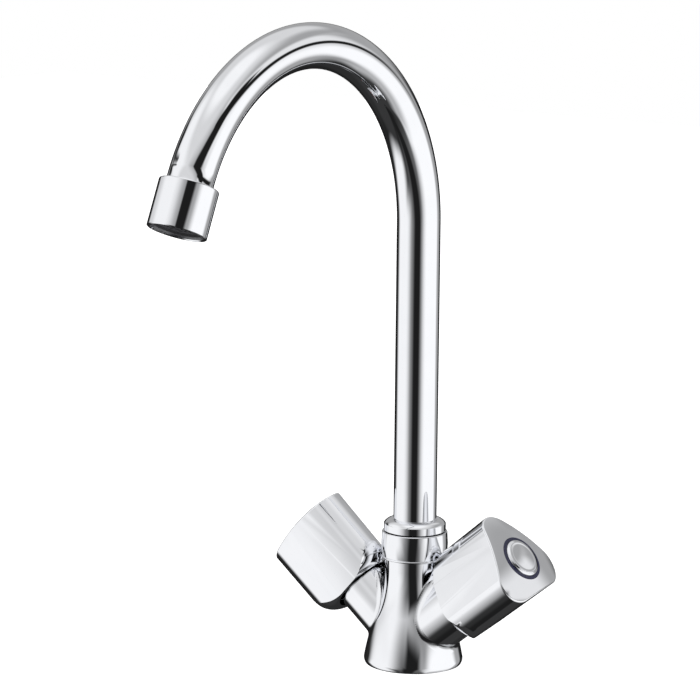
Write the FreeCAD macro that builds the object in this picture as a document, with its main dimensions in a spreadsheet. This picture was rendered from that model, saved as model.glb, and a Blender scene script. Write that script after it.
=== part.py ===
# Two-handle kitchen tap with a swivelling high-arc spout.
#
# The tap stands on its round foot.  The origin is the centre of the foot's underside, +Z is up, and
# the spout points to -Y when it is at rest.  The cold arm points to +X and the hot arm to -X, both
# rising from one point on the centre line.  Along an arm, "station" is the distance from that point.
import FreeCAD, Part

import math
import os

import Sketcher

Vector = FreeCAD.Vector

doc = FreeCAD.newDocument("KitchenTap")
sheet = doc.addObject("Spreadsheet::Sheet", "tap")

# ---------------------------------------------------------------------------------------------
# Driving sizes, in millimetres and degrees
# ---------------------------------------------------------------------------------------------
SIZES = [
    # the casting: foot, flare, column and threaded neck
    ("foot_radius", 23.0, "widest place of the foot"),
    ("foot_tuck", 0.6, "underside inside the widest place"),
    ("foot_edge_height", 2.4, "height of the widest place"),
    ("foot_edge_round", 4.5, "rounding of the foot's edge"),
    ("flare_mid_radius", 17.25, "where the flare turns from bulging to hollow"),
    ("flare_mid_height", 24.25, "height of that turn"),
    ("flare_bulge", 134.0, "radius of the bulging part of the flare"),
    ("column_radius", 13.7, "round column above the arms"),
    ("shoulder_height", 50.0, "top of the column, under the nut"),
    ("column_straight", 5.0, "straight column under the shoulder, at least"),
    ("neck_radius", 12.4, "threaded neck"),
    ("neck_length", 7.0, "threaded neck above the shoulder"),
    # underside
    ("gasket_margin", 1.6, "underside outside the gasket groove"),
    ("gasket_width", 2.2, "gasket groove"),
    ("gasket_depth", 1.8, "depth of the gasket groove"),
    ("recess_land", 2.1, "underside between the gasket groove and the recess"),
    ("recess_depth", 3.0, "recess round the ports"),
    ("gasket_slack", 0.1, "room beside the gasket in its groove"),
    ("port_offset", 8.6, "hose port from the centre line"),
    ("port_radius", 5.0, "hose port, M10"),
    ("port_depth", 12.0, "threaded depth of a hose port"),
    ("stud_offset", 11.5, "fixing stud's hole in front of the centre line"),
    ("stud_radius", 4.0, "fixing stud's hole, M8"),
    ("stud_depth", 15.0, "threaded depth of that hole"),
    # waterways
    ("passage_radius", 3.0, "drilled way from a hose port to a valve seat"),
    ("chamber_radius", 6.5, "mixing chamber"),
    ("chamber_floor", 30.0, "height of the chamber's floor"),
    ("crossway_radius", 2.6, "drilled way from a valve to the chamber"),
    ("crossway_step", 0.4, "crossway from the chamber's floor and from its top"),
    ("crossway_reach", 12.5, "how far the crossway goes out from the centre"),
    ("inlet_sink", 0.5, "drilled way from a port into the floor of the valve bore"),
    # the arms
    ("arm_height", 10.1, "where the arms' axes meet on the centre line"),
    ("arm_elevation", 39.2, "an arm's angle above level"),
    ("arm_start", 5.0, "station where the arm begins inside the foot"),
    ("arm_root_radius", 13.5, "arm where it begins"),
    ("arm_end_radius", 13.8, "arm at its end"),
    ("arm_length", 37.5, "station of the arm's end"),
    ("arm_blend", 4.0, "rounding between arm and column"),
    ("blend_room", 1.2, "column left above that rounding, at least"),
    ("flare_above_arms", 34.9, "end of the flare above the point where the arms meet, at most"),
    ("seat_station", 17.0, "floor of the valve's bore"),
    ("bore_radius", 10.2, "bore for the valve, G 1/2"),
    # fits
    ("thread_gap", 0.05, "between two parts screwed together"),
    ("running_gap", 0.05, "radial room of a shaft that turns in a bore"),
    ("face_gap", 0.1, "between two flat faces that slide"),
    ("trim_gap", 0.3, "between a turning trim part and a fixed one"),
    # swivel nut and slip washer
    ("nut_lift", 0.1, "nut's lower face above the shoulder"),
    ("nut_bead_radius", 15.05, "thin bead at the nut's lower edge"),
    ("nut_bead_height", 0.9, "height of that bead"),
    ("nut_bead_round", 0.54, "rounding of that bead"),
    ("nut_groove_radius", 14.65, "groove above the bead"),
    ("nut_groove_height", 0.35, "height of that groove"),
    ("nut_side_radius", 15.15, "nut's barrel at its ends"),
    ("nut_barrel_round", 50.0, "radius of the barrel's bulge"),
    ("nut_top_round", 0.5, "rounding of the nut's upper edge"),
    ("nut_lip_thickness", 2.4, "lip that holds the spout down"),
    ("nut_lip_gap", 0.5, "lip's bore beyond the spout tube"),
    ("washer_thickness", 1.0, "slip washer under the lip"),
    # the spout
    ("tube_radius", 10.0, "outside of the spout tube"),
    ("tube_wall", 1.2, "wall of the spout tube"),
    ("bend_start", 206.7, "height where the tube begins to bend"),
    ("bend_radius", 85.5, "centre line of the bend"),
    ("bend_sweep", 156.3, "angle of the bend"),
    ("spout_stub", 1.0, "straight tube between the bend and the nozzle"),
    ("flange_radius", 11.6, "spigot's flange under the nut's lip"),
    ("flange_thickness", 2.0, "that flange"),
    ("spigot_bore", 6.3, "waterway through the spigot"),
    ("spigot_step", 0.5, "bore that the spout turns in, inside the tube's outside"),
    ("spigot_room", 2.0, "under the spigot"),
    ("spigot_bevel", 0.5, "bevel of the spigot's lower end"),
    ("pilot_length", 6.5, "spigot inside the tube"),
    ("pilot_gap", 0.05, "between that and the tube"),
    ("oring_groove_width", 2.2, "groove for a spigot seal"),
    ("oring_groove_depth", 1.85, "depth of that groove"),
    ("oring_section", 0.82, "half the thickness of a spigot seal"),
    ("lower_oring_place", 4.0, "middle of the lower seal above the spigot's end"),
    ("upper_oring_place", 7.0, "middle of the upper seal below the neck's top"),
    ("collar_radius", 14.35, "trim ring round the foot of the tube"),
    ("collar_side", 3.4, "straight side of the trim ring"),
    ("collar_height", 5.3, "whole trim ring"),
    ("collar_bevel", 0.3, "bevel of its lower edge"),
    ("collar_ledge", 0.35, "flat top of the trim ring beside the tube"),
    # the nozzle, measured along the end of the tube
    ("nozzle_radius", 12.85, "outside of the nozzle"),
    ("nozzle_length", 20.8, "nozzle along its axis"),
    ("nozzle_edge", 0.7, "rounding of its upper edge"),
    ("nozzle_socket", 4.0, "tube inside the nozzle"),
    ("nozzle_step", 2.0, "step that the tube stands on"),
    ("nozzle_step_radius", 8.6, "waterway through the step"),
    ("nozzle_wall", 1.35, "wall round the aerator"),
    ("nozzle_lip", 0.5, "bevel inside the mouth"),
    ("nozzle_bevel", 0.3, "bevel outside the mouth"),
    ("aerator_washer", 1.8, "washer above the aerator"),
    ("aerator_wall", 1.7, "wall of the aerator's case"),
    ("aerator_recess", 1.2, "aerator's end inside the mouth"),
    ("aerator_sieve", 1.6, "perforated plate at the aerator's inlet"),
    ("sieve_hole", 0.8, "radius of a hole in that plate"),
    ("sieve_pitch", 3.1, "distance between its rings of holes"),
    ("grid_thickness", 2.2, "outlet grid"),
    ("grid_inset", 1.0, "outlet grid behind the end of the case"),
    ("grid_bar", 0.7, "width of a bar of the outlet grid"),
    ("grid_pitch", 2.6, "distance between those bars"),
    # the valves, measured along an arm
    ("seal_inner", 4.4, "seat seal"),
    ("seal_outer", 6.9, "seat seal"),
    ("seal_thickness", 2.2, "seat seal"),
    ("disc_radius", 7.3, "fixed ceramic disc"),
    ("disc_thickness", 2.4, "each ceramic disc"),
    ("disc_port_inner", 1.6, "port in a disc"),
    ("disc_port_outer", 5.6, "port in a disc"),
    ("disc_port_angle", 76.0, "angle of a port in a disc"),
    ("disc_film", 0.05, "between the two discs"),
    ("turning_room", 0.3, "round what turns inside the valve"),
    ("valve_lower_radius", 8.9, "valve below its thread"),
    ("valve_seat_gap", 1.1, "valve above the seat, round the seat seal"),
    ("valve_thread_start", 6.5, "thread's lower end above the seat"),
    ("window_width", 6.0, "window that lets the water out of the valve"),
    ("window_length", 5.0, "that window along the arm"),
    ("gasket_ring_room", 0.2, "flat ring between arm and hexagon, round the thread"),
    ("gasket_ring_inset", 0.6, "that ring inside the arm's end"),
    ("gasket_ring_height", 1.0, "that ring"),
    ("hexagon_flats", 22.0, "valve's hexagon across its flats"),
    ("hexagon_height", 5.5, "valve's hexagon"),
    ("valve_neck_radius", 7.8, "valve above its hexagon"),
    ("valve_neck_length", 7.5, "that neck"),
    ("spindle_radius", 4.0, "spindle"),
    ("spindle_foot", 3.6, "thick foot of the spindle on the moving disc"),
    ("spindle_bevel", 0.4, "bevel of the spindle's end and of the screw's"),
    ("spline_length", 8.0, "toothed end of the spindle"),
    ("spline_depth", 0.45, "depth of the teeth"),
    ("spindle_seal_place", 3.5, "middle of the spindle's seal below the arm's end"),
    ("spindle_seal_width", 2.0, "groove for that seal"),
    ("spindle_seal_depth", 1.4, "depth of that groove"),
    ("spindle_seal_section", 0.62, "half the thickness of that seal"),
    ("clip_height", 0.9, "spring clip above the valve's neck"),
    ("clip_outer", 5.8, "that clip"),
    ("clip_depth", 0.8, "depth of its groove"),
    ("clip_opening", 3.0, "opening of the clip"),
    ("screw_radius", 1.7, "thread of the handle's screw"),
    ("screw_depth", 9.0, "tapped hole in the spindle"),
    ("screw_reach", 7.6, "screw inside the spindle"),
    ("screw_head_radius", 3.6, "head of the screw"),
    ("screw_head_height", 2.4, "that head"),
    ("screw_head_round", 0.8, "rounding of that head"),
    ("screw_slot", 1.0, "cross recess, width of an arm"),
    ("screw_slot_reach", 2.2, "that recess from the screw's axis"),
    ("screw_slot_depth", 1.3, "that recess"),
    # the handles, measured along an arm
    ("lobe_circle", 14.75, "lobes' centres from the axis"),
    ("lobe_radius", 9.2, "rounding of a lobe, at the skirt"),
    ("handle_taper", 0.75, "angle by which a handle narrows towards its skirt"),
    ("handle_wall", 2.2, "wall of a handle"),
    ("handle_apex", 39.8, "top of the domed end beyond the arm's end"),
    ("dome_radius", 84.0, "domed end"),
    ("rim_round", 0.9, "rounding of the domed end's rim"),
    ("skirt_start", 1.6, "handle's lower edge before the arm's end"),
    ("skirt_round", 10.0, "rounding from the sides to the lower edge"),
    ("skirt_gap", 1.6, "opening round the arm"),
    ("skirt_edge", 2.0, "flat lower edge round that opening"),
    ("roof_thickness", 3.0, "under the pocket for the cap"),
    ("boss_gap", 1.5, "boss above the spring clip"),
    ("boss_radius", 6.9, "boss on the spindle"),
    ("socket_gap", 0.05, "between boss and spindle"),
    ("web_thickness", 2.0, "what the screw presses on the spindle"),
    ("well_radius", 4.4, "well for the screw's head"),
    ("well_depth", 6.1, "that well under the pocket"),
    ("pocket_depth", 3.1, "pocket for the cap, below the top of the domed end"),
    ("pocket_radius", 10.9, "that pocket"),
    ("index_gap", 0.05, "round the coloured ring"),
    ("index_width", 1.6, "coloured ring"),
    ("index_proud", 0.15, "coloured ring above the pocket's edge"),
    ("cap_edge", 1.0, "steep edge of the cap above the ring"),
    ("cap_rise", 0.9, "dome of the cap above its edge"),
    ("cap_round", 0.8, "rounding of that edge"),
    ("cap_stem_radius", 4.2, "cap's plug in the screw's well"),
    ("cap_stem_length", 2.8, "that plug"),
    ("cold_lobe_turn", 188.0, "angle of a lobe of the cold handle, closed"),
    ("hot_lobe_turn", 97.9, "angle of a lobe of the hot handle, closed"),
]

for row, (alias, number, note) in enumerate(SIZES, start=1):
    sheet.set(f"A{row}", alias)
    sheet.set(f"B{row}", str(number))
    sheet.setAlias(f"B{row}", alias)
    sheet.set(f"C{row}", note)
doc.recompute()

# Sizes that follow from the driving ones, as formulas of the sheet
NECK_TOP = "(tap.shoulder_height + tap.neck_length)"
FLANGE_LOW = f"({NECK_TOP} + tap.face_gap)"
TUBE_FOOT = f"({FLANGE_LOW} + tap.flange_thickness)"
WASHER_LOW = f"({TUBE_FOOT} + tap.face_gap)"
LIP_LOW = f"({WASHER_LOW} + tap.washer_thickness)"
NUT_TOP = f"({LIP_LOW} + tap.nut_lip_thickness)"
COLLAR_LOW = f"({NUT_TOP} + tap.trim_gap)"
SPIGOT_BORE_RADIUS = "(tap.tube_radius - tap.spigot_step)"
SPIGOT_FLOOR = "(tap.chamber_floor + 2 * (tap.crossway_radius + tap.crossway_step))"
SPIGOT_END = f"({SPIGOT_FLOOR} + tap.spigot_room)"
SEAL_HEIGHTS = {
    "lower": f"({SPIGOT_END} + tap.lower_oring_place)",
    "upper": f"({NECK_TOP} - tap.upper_oring_place)",
}
TUBE_INNER = "(tap.tube_radius - tap.tube_wall)"
FOOT_RIM = "(tap.foot_radius - tap.foot_tuck)"
GASKET_OUTER = f"({FOOT_RIM} - tap.gasket_margin)"
GASKET_INNER = f"({GASKET_OUTER} - tap.gasket_width)"
RECESS_RADIUS = f"({GASKET_INNER} - tap.recess_land)"
COLUMN_START = "min(tap.shoulder_height - tap.column_straight; tap.arm_height + tap.flare_above_arms)"
ARM_CREST = ("(tap.arm_height + tap.column_radius * tan(tap.arm_elevation * 1deg)"
             " + tap.arm_end_radius / cos(tap.arm_elevation * 1deg))")
BLEND_LIMIT = (f"((tap.shoulder_height - tap.blend_room - {ARM_CREST})"
               " * tan((90 - tap.arm_elevation) / 2 * 1deg))")
UPPER_FLARE = ("(((tap.flare_mid_radius - tap.column_radius)^2"
               f" + ({COLUMN_START} - tap.flare_mid_height)^2)"
               " / (2 * (tap.flare_mid_radius - tap.column_radius)))")
FIXED_DISC_LOW = "(tap.seat_station + tap.seal_thickness)"
MOVING_DISC_LOW = f"({FIXED_DISC_LOW} + tap.disc_thickness + tap.disc_film)"
SPINDLE_LOW = f"({MOVING_DISC_LOW} + tap.disc_thickness)"
SPINDLE_STEP = f"({SPINDLE_LOW} + tap.spindle_foot)"
VALVE_CHAMBER_TOP = f"({SPINDLE_STEP} + tap.turning_room)"
VALVE_CHAMBER_RADIUS = "(tap.disc_radius + tap.thread_gap)"
VALVE_THREAD_LOW = "(tap.seat_station + tap.valve_thread_start)"
HEX_LOW = "(tap.arm_length + tap.gasket_ring_height)"
HEX_TOP = f"({HEX_LOW} + tap.hexagon_height)"
VALVE_TOP = f"({HEX_TOP} + tap.valve_neck_length)"
CLIP_LOW = f"({VALVE_TOP} + tap.turning_room)"
CLIP_TOP = f"({CLIP_LOW} + tap.clip_height)"
CLIP_BORE = "(tap.spindle_radius - tap.clip_depth)"
SPINDLE_SEAL = "(tap.arm_length - tap.spindle_seal_place)"
HANDLE_TOP = "(tap.arm_length + tap.handle_apex)"
POCKET_FLOOR = f"({HANDLE_TOP} - tap.pocket_depth)"
ROOF_LOW = f"({POCKET_FLOOR} - tap.roof_thickness)"
WEB_TOP = f"({POCKET_FLOOR} - tap.well_depth)"
WEB_LOW = f"({WEB_TOP} - tap.web_thickness)"
SPINDLE_END = f"({WEB_LOW} - tap.face_gap)"
SPLINE_LOW = f"({SPINDLE_END} - tap.spline_length)"
SCREW_END = f"({SPINDLE_END} - tap.screw_reach)"
BOSS_LOW = f"({CLIP_TOP} + tap.boss_gap)"
SKIRT_LOW = "(tap.arm_length - tap.skirt_start)"
SKIRT_MOUTH = "(tap.arm_end_radius + tap.skirt_gap)"
SKIRT_EDGE_RADIUS = f"({SKIRT_MOUTH} + tap.skirt_edge)"
INDEX_OUTER = "(tap.pocket_radius - tap.index_gap)"
INDEX_INNER = f"({INDEX_OUTER} - tap.index_width)"
CAP_RADIUS = f"({INDEX_INNER} - tap.index_gap)"
POCKET_EDGE = f"({HANDLE_TOP} - tap.pocket_radius^2 / (2 * tap.dome_radius))"
HANDLE_REACH = "(tap.lobe_circle + tap.lobe_radius)"
HANDLE_OUTSIDE = f"({HANDLE_REACH} + tap.skirt_round)"
SKIRT_CENTRE_RADIUS = f"({HANDLE_REACH} - tap.skirt_round)"
SKIRT_CENTRE_STATION = (f"({SKIRT_LOW} + sqrt(tap.skirt_round^2"
                        f" - ({SKIRT_EDGE_RADIUS} - {SKIRT_CENTRE_RADIUS})^2))")
NOZZLE_BORE = "(tap.nozzle_radius - tap.nozzle_wall)"
CASE_RADIUS = f"({NOZZLE_BORE} - tap.thread_gap)"
CASE_START = "(tap.nozzle_socket + tap.nozzle_step + tap.aerator_washer)"
CASE_END = "(tap.nozzle_length - tap.aerator_recess)"
CASE_BORE = f"({CASE_RADIUS} - tap.aerator_wall)"


def value(formula):
    """The number that a formula of the sheet gives now."""
    result = sheet.evalExpression(str(formula))
    return float(getattr(result, "Value", result))


# ---------------------------------------------------------------------------------------------
# Sketches and turned bodies
# ---------------------------------------------------------------------------------------------
def origin_plane(body, role):
    """One of a body's own origin planes."""
    return next(item for item in body.Origin.OriginFeatures if item.Role == role)


def new_body(label):
    """An empty body whose label names its file."""
    body = doc.addObject("PartDesign::Body", label)
    body.Label = label
    return body


def new_sketch(body, name, role, lift=None):
    """A sketch on an origin plane of its body, moved off the plane by the formula lift."""
    sketch = body.newObject("Sketcher::SketchObject", name)
    sketch.AttachmentSupport = (origin_plane(body, role), [""])
    sketch.MapMode = "FlatFace"
    if lift is not None:
        sketch.setExpression("AttachmentOffset.Base.z", lift)
    return sketch


def bind(sketch, kind, elements, formula):
    """One constraint whose datum follows a formula of the sheet."""
    index = sketch.addConstraint(Sketcher.Constraint(kind, *elements, value(formula)))
    sketch.setExpression(f"Constraints[{index}]", str(formula))


def pin_point(sketch, geometry, end, across, along):
    """Hold one end of a line or arc at two formulas of the sheet."""
    for kind, axis, formula in (("DistanceX", -2, across), ("DistanceY", -1, along)):
        if formula == "0":
            sketch.addConstraint(Sketcher.Constraint("PointOnObject", geometry, end, axis))
        else:
            bind(sketch, kind, (-1, 1, geometry, end), formula)


def arc_between(start, end, radius):
    """An arc from start to end; a positive radius has its centre to the left of the way there."""
    chord = end - start
    half = chord.Length / 2
    reach = math.sqrt(max(radius * radius - half * half, 0.0))
    left = Vector(-chord.y, chord.x, 0).normalize()
    side = 1 if radius > 0 else -1
    centre = (start + end) * 0.5 + left * reach * side
    first = math.atan2(start.y - centre.y, start.x - centre.x)
    last = math.atan2(end.y - centre.y, end.x - centre.x)
    circle = Part.Circle(centre, Vector(0, 0, 1), abs(radius))
    if side > 0:
        return Part.ArcOfCircle(circle, first, last), (1, 2)
    return Part.ArcOfCircle(circle, last, first), (2, 1)


def outline(sketch, corners):
    """A closed outline.  A corner is (across, along) or (across, along, radius of the arc to it)."""
    places = [Vector(value(corner[0]), value(corner[1]), 0) for corner in corners]
    ends = []
    for index, corner in enumerate(corners):
        start, end = places[index - 1], places[index]
        if len(corner) > 2:
            shape, (first, last) = arc_between(start, end, value(corner[2]))
            geometry = sketch.addGeometry(shape, False)
            formula = corner[2].lstrip("-")
            bind(sketch, "Radius", (geometry,), formula)
        else:
            geometry = sketch.addGeometry(Part.LineSegment(start, end), False)
            first, last = 1, 2
        ends.append((geometry, first, last))
        pin_point(sketch, geometry, last, corner[0], corner[1])
    for index, (geometry, first, _) in enumerate(ends):
        before, _, last = ends[index - 1]
        sketch.addConstraint(Sketcher.Constraint("Coincident", before, last, geometry, first))


def circle(sketch, radius, across="0", along="0"):
    """A circle whose centre and radius follow the sheet."""
    centre = Vector(value(across), value(along), 0)
    geometry = sketch.addGeometry(Part.Circle(centre, Vector(0, 0, 1), value(radius)), False)
    bind(sketch, "Radius", (geometry,), radius)
    pin_point(sketch, geometry, 3, across, along)


def turn(body, name, corners, kind="PartDesign::Revolution"):
    """A full turn of an outline about the body's Z axis: added, or cut with PartDesign::Groove."""
    sketch = new_sketch(body, name + "_profile", "XZ_Plane")
    outline(sketch, corners)
    feature = body.newObject(kind, name)
    feature.Profile = sketch
    feature.ReferenceAxis = (sketch, ["V_Axis"])
    feature.Angle = 360.0
    doc.recompute()
    return feature


def extrude(body, name, sketch, length, kind="PartDesign::Pad", reverse=False, both=False):
    """A pad, or with PartDesign::Pocket a pocket, of a sketch to a length of the sheet."""
    feature = body.newObject(kind, name)
    feature.Profile = sketch
    feature.Reversed = reverse
    feature.Midplane = both
    feature.setExpression("Length", length)
    doc.recompute()
    return feature


def cuts(body, make):
    """Run make() and stop if it took nothing off the body."""
    before = body.Shape.Volume
    feature = make()
    doc.recompute()
    if not body.Shape.Volume < before - 1e-3:
        raise RuntimeError(f"{feature.Name} cuts nothing")
    return feature


def groove(body, name, corners):
    """A turned cut about the body's Z axis."""
    return cuts(body, lambda: turn(body, name, corners, "PartDesign::Groove"))


def pocket(body, name, sketch, length, reverse=False, both=False):
    """A straight cut from a sketch."""
    return cuts(body, lambda: extrude(body, name, sketch, length, "PartDesign::Pocket", reverse, both))


def tube_profile(inner, outer, low, high):
    """The outline of a plain ring."""
    return [(inner, low), (outer, low), (outer, high), (inner, high)]


def ring_seal(label, major, section, height):
    """A round seal of circular section."""
    body = new_body(label)
    sketch = new_sketch(body, label + "_section", "XZ_Plane")
    circle(sketch, section, major, height)
    feature = body.newObject("PartDesign::Revolution", label + "_ring")
    feature.Profile = sketch
    feature.ReferenceAxis = (sketch, ["V_Axis"])
    feature.Angle = 360.0
    doc.recompute()
    return body


SIDES = {"cold": 1, "hot": -1}


def along_arm(item, side):
    """Stand a piece, drawn along +Z, on the arm of one side."""
    item.Placement = FreeCAD.Placement(Vector(0, 0, 0), FreeCAD.Rotation(Vector(0, 1, 0), 10))
    item.setExpression(".Placement.Base.z", "tap.arm_height")
    item.setExpression(".Placement.Rotation.Angle", f"{SIDES[side]} * (90 - tap.arm_elevation) * 1deg")
    return item


def at_nozzle(item):
    """Stand a piece, drawn along +Z, on the end of the bend, pointing out of the spout."""
    bend = "tap.bend_sweep * 1deg"
    item.Placement = FreeCAD.Placement(Vector(0, 0, 0), FreeCAD.Rotation(Vector(1, 0, 0), 10))
    item.setExpression(
        ".Placement.Base.y",
        f"-tap.bend_radius * (1 - cos({bend})) - tap.spout_stub * sin({bend})")
    item.setExpression(
        ".Placement.Base.z",
        f"tap.bend_start + tap.bend_radius * sin({bend}) + tap.spout_stub * cos({bend})")
    item.setExpression(".Placement.Rotation.Angle", bend)
    return item


# ---------------------------------------------------------------------------------------------
# The casting
# ---------------------------------------------------------------------------------------------
def on_arm(station, radius):
    """Across and along in the upright middle plane, for a place beside the cold arm's axis."""
    tilt = "tap.arm_elevation * 1deg"
    across = f"(({station}) * cos({tilt}) + ({radius}) * sin({tilt}))"
    along = f"(tap.arm_height + ({station}) * sin({tilt}) - ({radius}) * cos({tilt}))"
    return across, along


def oblique_turn(body, name, corners, axis, kind):
    """A full turn about a slanting line of the middle plane, and its mirror on the other side."""
    sketch = new_sketch(body, name + "_profile", "XZ_Plane")
    outline(sketch, corners)
    start, end = (Vector(value(place[0]), value(place[1]), 0) for place in axis)
    line = sketch.addGeometry(Part.LineSegment(start, end), True)
    for point, place in ((1, axis[0]), (2, axis[1])):
        pin_point(sketch, line, point, place[0], place[1])
    feature = body.newObject(kind, name)
    feature.Profile = sketch
    feature.ReferenceAxis = (sketch, ["Axis0"])
    feature.Angle = 360.0
    doc.recompute()
    mirror = body.newObject("PartDesign::Mirrored", name + "_mirror")
    mirror.Originals = [feature]
    mirror.MirrorPlane = (origin_plane(body, "YZ_Plane"), [""])
    body.Tip = mirror
    doc.recompute()
    return mirror


def blended_edges(shape):
    """The seams between round forms that run into each other: neither lines nor circles."""
    names = []
    for index, edge in enumerate(shape.Edges, start=1):
        if not isinstance(edge.Curve, (Part.Line, Part.Circle)):
            names.append(f"Edge{index}")
    return names


def make_casting():
    """Foot, flare, column, neck and two arms in one casting, drilled for the water."""
    body = new_body("faucet_body")
    turn(body, "column", [
        ("0", "0"),
        (FOOT_RIM, "0"),
        ("tap.foot_radius", "tap.foot_edge_height", "tap.foot_edge_round"),
        ("tap.flare_mid_radius", "tap.flare_mid_height", "tap.flare_bulge"),
        ("tap.column_radius", COLUMN_START, "-" + UPPER_FLARE),
        ("tap.column_radius", "tap.shoulder_height"),
        ("tap.neck_radius", "tap.shoulder_height"),
        ("tap.neck_radius", NECK_TOP),
        ("0", NECK_TOP)])
    arm_axis = (on_arm("0", "0"), on_arm("tap.arm_length", "0"))
    oblique_turn(body, "arm", [
        on_arm("tap.arm_start", "0"),
        on_arm("tap.arm_start", "tap.arm_root_radius"),
        on_arm("tap.arm_length", "tap.arm_end_radius"),
        on_arm("tap.arm_length", "0")], arm_axis, "PartDesign::Revolution")
    rough = body.Tip
    blend = body.newObject("PartDesign::Fillet", "arm_blend")
    blend.Base = (rough, blended_edges(rough.Shape))
    blend.setExpression("Radius", f"min(tap.arm_blend; {BLEND_LIMIT})")
    doc.recompute()
    groove(body, "spigot_bore", [
        ("0", "tap.chamber_floor"),
        ("tap.chamber_radius", "tap.chamber_floor"),
        ("tap.chamber_radius", SPIGOT_FLOOR),
        (SPIGOT_BORE_RADIUS, SPIGOT_FLOOR),
        (SPIGOT_BORE_RADIUS, f"{NECK_TOP} + 1"),
        ("0", f"{NECK_TOP} + 1")])
    cuts(body, lambda: oblique_turn(body, "valve_bore", [
        on_arm("tap.seat_station", "0"),
        on_arm("tap.seat_station", "tap.bore_radius"),
        on_arm("tap.arm_length + 1", "tap.bore_radius"),
        on_arm("tap.arm_length + 1", "0")], arm_axis, "PartDesign::Groove"))
    sketch = new_sketch(body, "crossway_circle", "YZ_Plane")
    crossway_height = "tap.chamber_floor + tap.crossway_radius + tap.crossway_step"
    circle(sketch, "tap.crossway_radius", "0", crossway_height)
    pocket(body, "crossway", sketch, "2 * tap.crossway_reach", both=True)
    groove(body, "underside_recess", tube_profile("0", RECESS_RADIUS, "0", "tap.recess_depth"))
    groove(body, "gasket_groove", tube_profile(GASKET_INNER, GASKET_OUTER, "0", "tap.gasket_depth"))
    sketch = new_sketch(body, "port_circles", "XY_Plane", "tap.recess_depth")
    circle(sketch, "tap.port_radius", "tap.port_offset")
    circle(sketch, "tap.port_radius", "-tap.port_offset")
    pocket(body, "hose_ports", sketch, "tap.port_depth", reverse=True)
    sketch = new_sketch(body, "stud_circle", "XY_Plane", "tap.recess_depth")
    circle(sketch, "tap.stud_radius", "0", "-tap.stud_offset")
    pocket(body, "stud_hole", sketch, "tap.stud_depth", reverse=True)
    port_top = ("tap.port_offset", "(tap.recess_depth + tap.port_depth - tap.passage_radius / 2)")
    seat = on_arm("tap.seat_station + tap.inlet_sink", "0")
    run = f"sqrt(({seat[0]} - {port_top[0]})^2 + ({seat[1]} - {port_top[1]})^2)"
    lean_across = f"(tap.passage_radius * ({seat[1]} - {port_top[1]}) / {run})"
    lean_along = f"(tap.passage_radius * ({seat[0]} - {port_top[0]}) / {run})"
    cuts(body, lambda: oblique_turn(body, "inlet", [
        port_top,
        (f"{port_top[0]} + {lean_across}", f"{port_top[1]} - {lean_along}"),
        (f"{seat[0]} + {lean_across}", f"{seat[1]} - {lean_along}"),
        seat], (port_top, seat), "PartDesign::Groove"))
    return body


def make_base_gasket():
    """Flat rubber ring in the underside."""
    body = new_body("base_gasket")
    turn(body, "gasket_ring", tube_profile(
        f"{GASKET_INNER} + tap.gasket_slack", f"{GASKET_OUTER} - tap.gasket_slack", "0", "tap.gasket_depth"))
    return body


# ---------------------------------------------------------------------------------------------
# The swivel
# ---------------------------------------------------------------------------------------------
def make_swivel_nut():
    """Barrel-shaped nut: screwed to the neck, its lip holds the spout's flange down."""
    low = "(tap.shoulder_height + tap.nut_lift)"
    bead_top = f"({low} + tap.nut_bead_height)"
    side_low = f"({bead_top} + tap.nut_groove_height)"
    thread = "(tap.neck_radius + tap.thread_gap)"
    lip = "(tap.tube_radius + tap.nut_lip_gap)"
    body = new_body("swivel_nut")
    turn(body, "nut", [
        (thread, low),
        ("tap.nut_bead_radius", low),
        ("tap.nut_bead_radius", bead_top, "tap.nut_bead_round"),
        ("tap.nut_groove_radius", bead_top),
        ("tap.nut_groove_radius", side_low),
        ("tap.nut_side_radius", side_low),
        ("tap.nut_side_radius", f"{NUT_TOP} - tap.nut_top_round", "tap.nut_barrel_round"),
        ("tap.nut_side_radius - tap.nut_top_round", NUT_TOP, "tap.nut_top_round"),
        (lip, NUT_TOP),
        (lip, LIP_LOW),
        (thread, LIP_LOW)])
    return body


def make_slip_washer():
    """Slippery washer between the spout's flange and the nut's lip."""
    body = new_body("slip_washer")
    turn(body, "washer", tube_profile(
        "tap.tube_radius + tap.nut_lip_gap", "tap.neck_radius - tap.thread_gap", WASHER_LOW, LIP_LOW))
    return body


def make_spigot():
    """Turned brass end of the spout, with a flange and two seal grooves."""
    stem = f"({SPIGOT_BORE_RADIUS} - tap.running_gap)"
    groove_floor = f"({stem} - tap.oring_groove_depth)"
    body = new_body("spout_spigot")
    turn(body, "spigot", [
        ("tap.spigot_bore", SPIGOT_END),
        (f"{stem} - tap.spigot_bevel", SPIGOT_END),
        (stem, f"{SPIGOT_END} + tap.spigot_bevel"),
        (stem, FLANGE_LOW),
        ("tap.flange_radius", FLANGE_LOW),
        ("tap.flange_radius", TUBE_FOOT),
        (f"{TUBE_INNER} - tap.pilot_gap", TUBE_FOOT),
        (f"{TUBE_INNER} - tap.pilot_gap", f"{TUBE_FOOT} + tap.pilot_length"),
        ("tap.spigot_bore", f"{TUBE_FOOT} + tap.pilot_length")])
    for name, middle in SEAL_HEIGHTS.items():
        groove(body, name + "_groove", tube_profile(
            groove_floor, f"{stem} + 1",
            f"{middle} - tap.oring_groove_width / 2", f"{middle} + tap.oring_groove_width / 2"))
    return body


def make_spigot_seal(name):
    """Rubber ring in one groove of the spigot."""
    floor = f"({SPIGOT_BORE_RADIUS} - tap.running_gap - tap.oring_groove_depth)"
    return ring_seal(f"spigot_oring_{name}", f"{floor} + tap.oring_section",
                     "tap.oring_section", SEAL_HEIGHTS[name])


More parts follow.
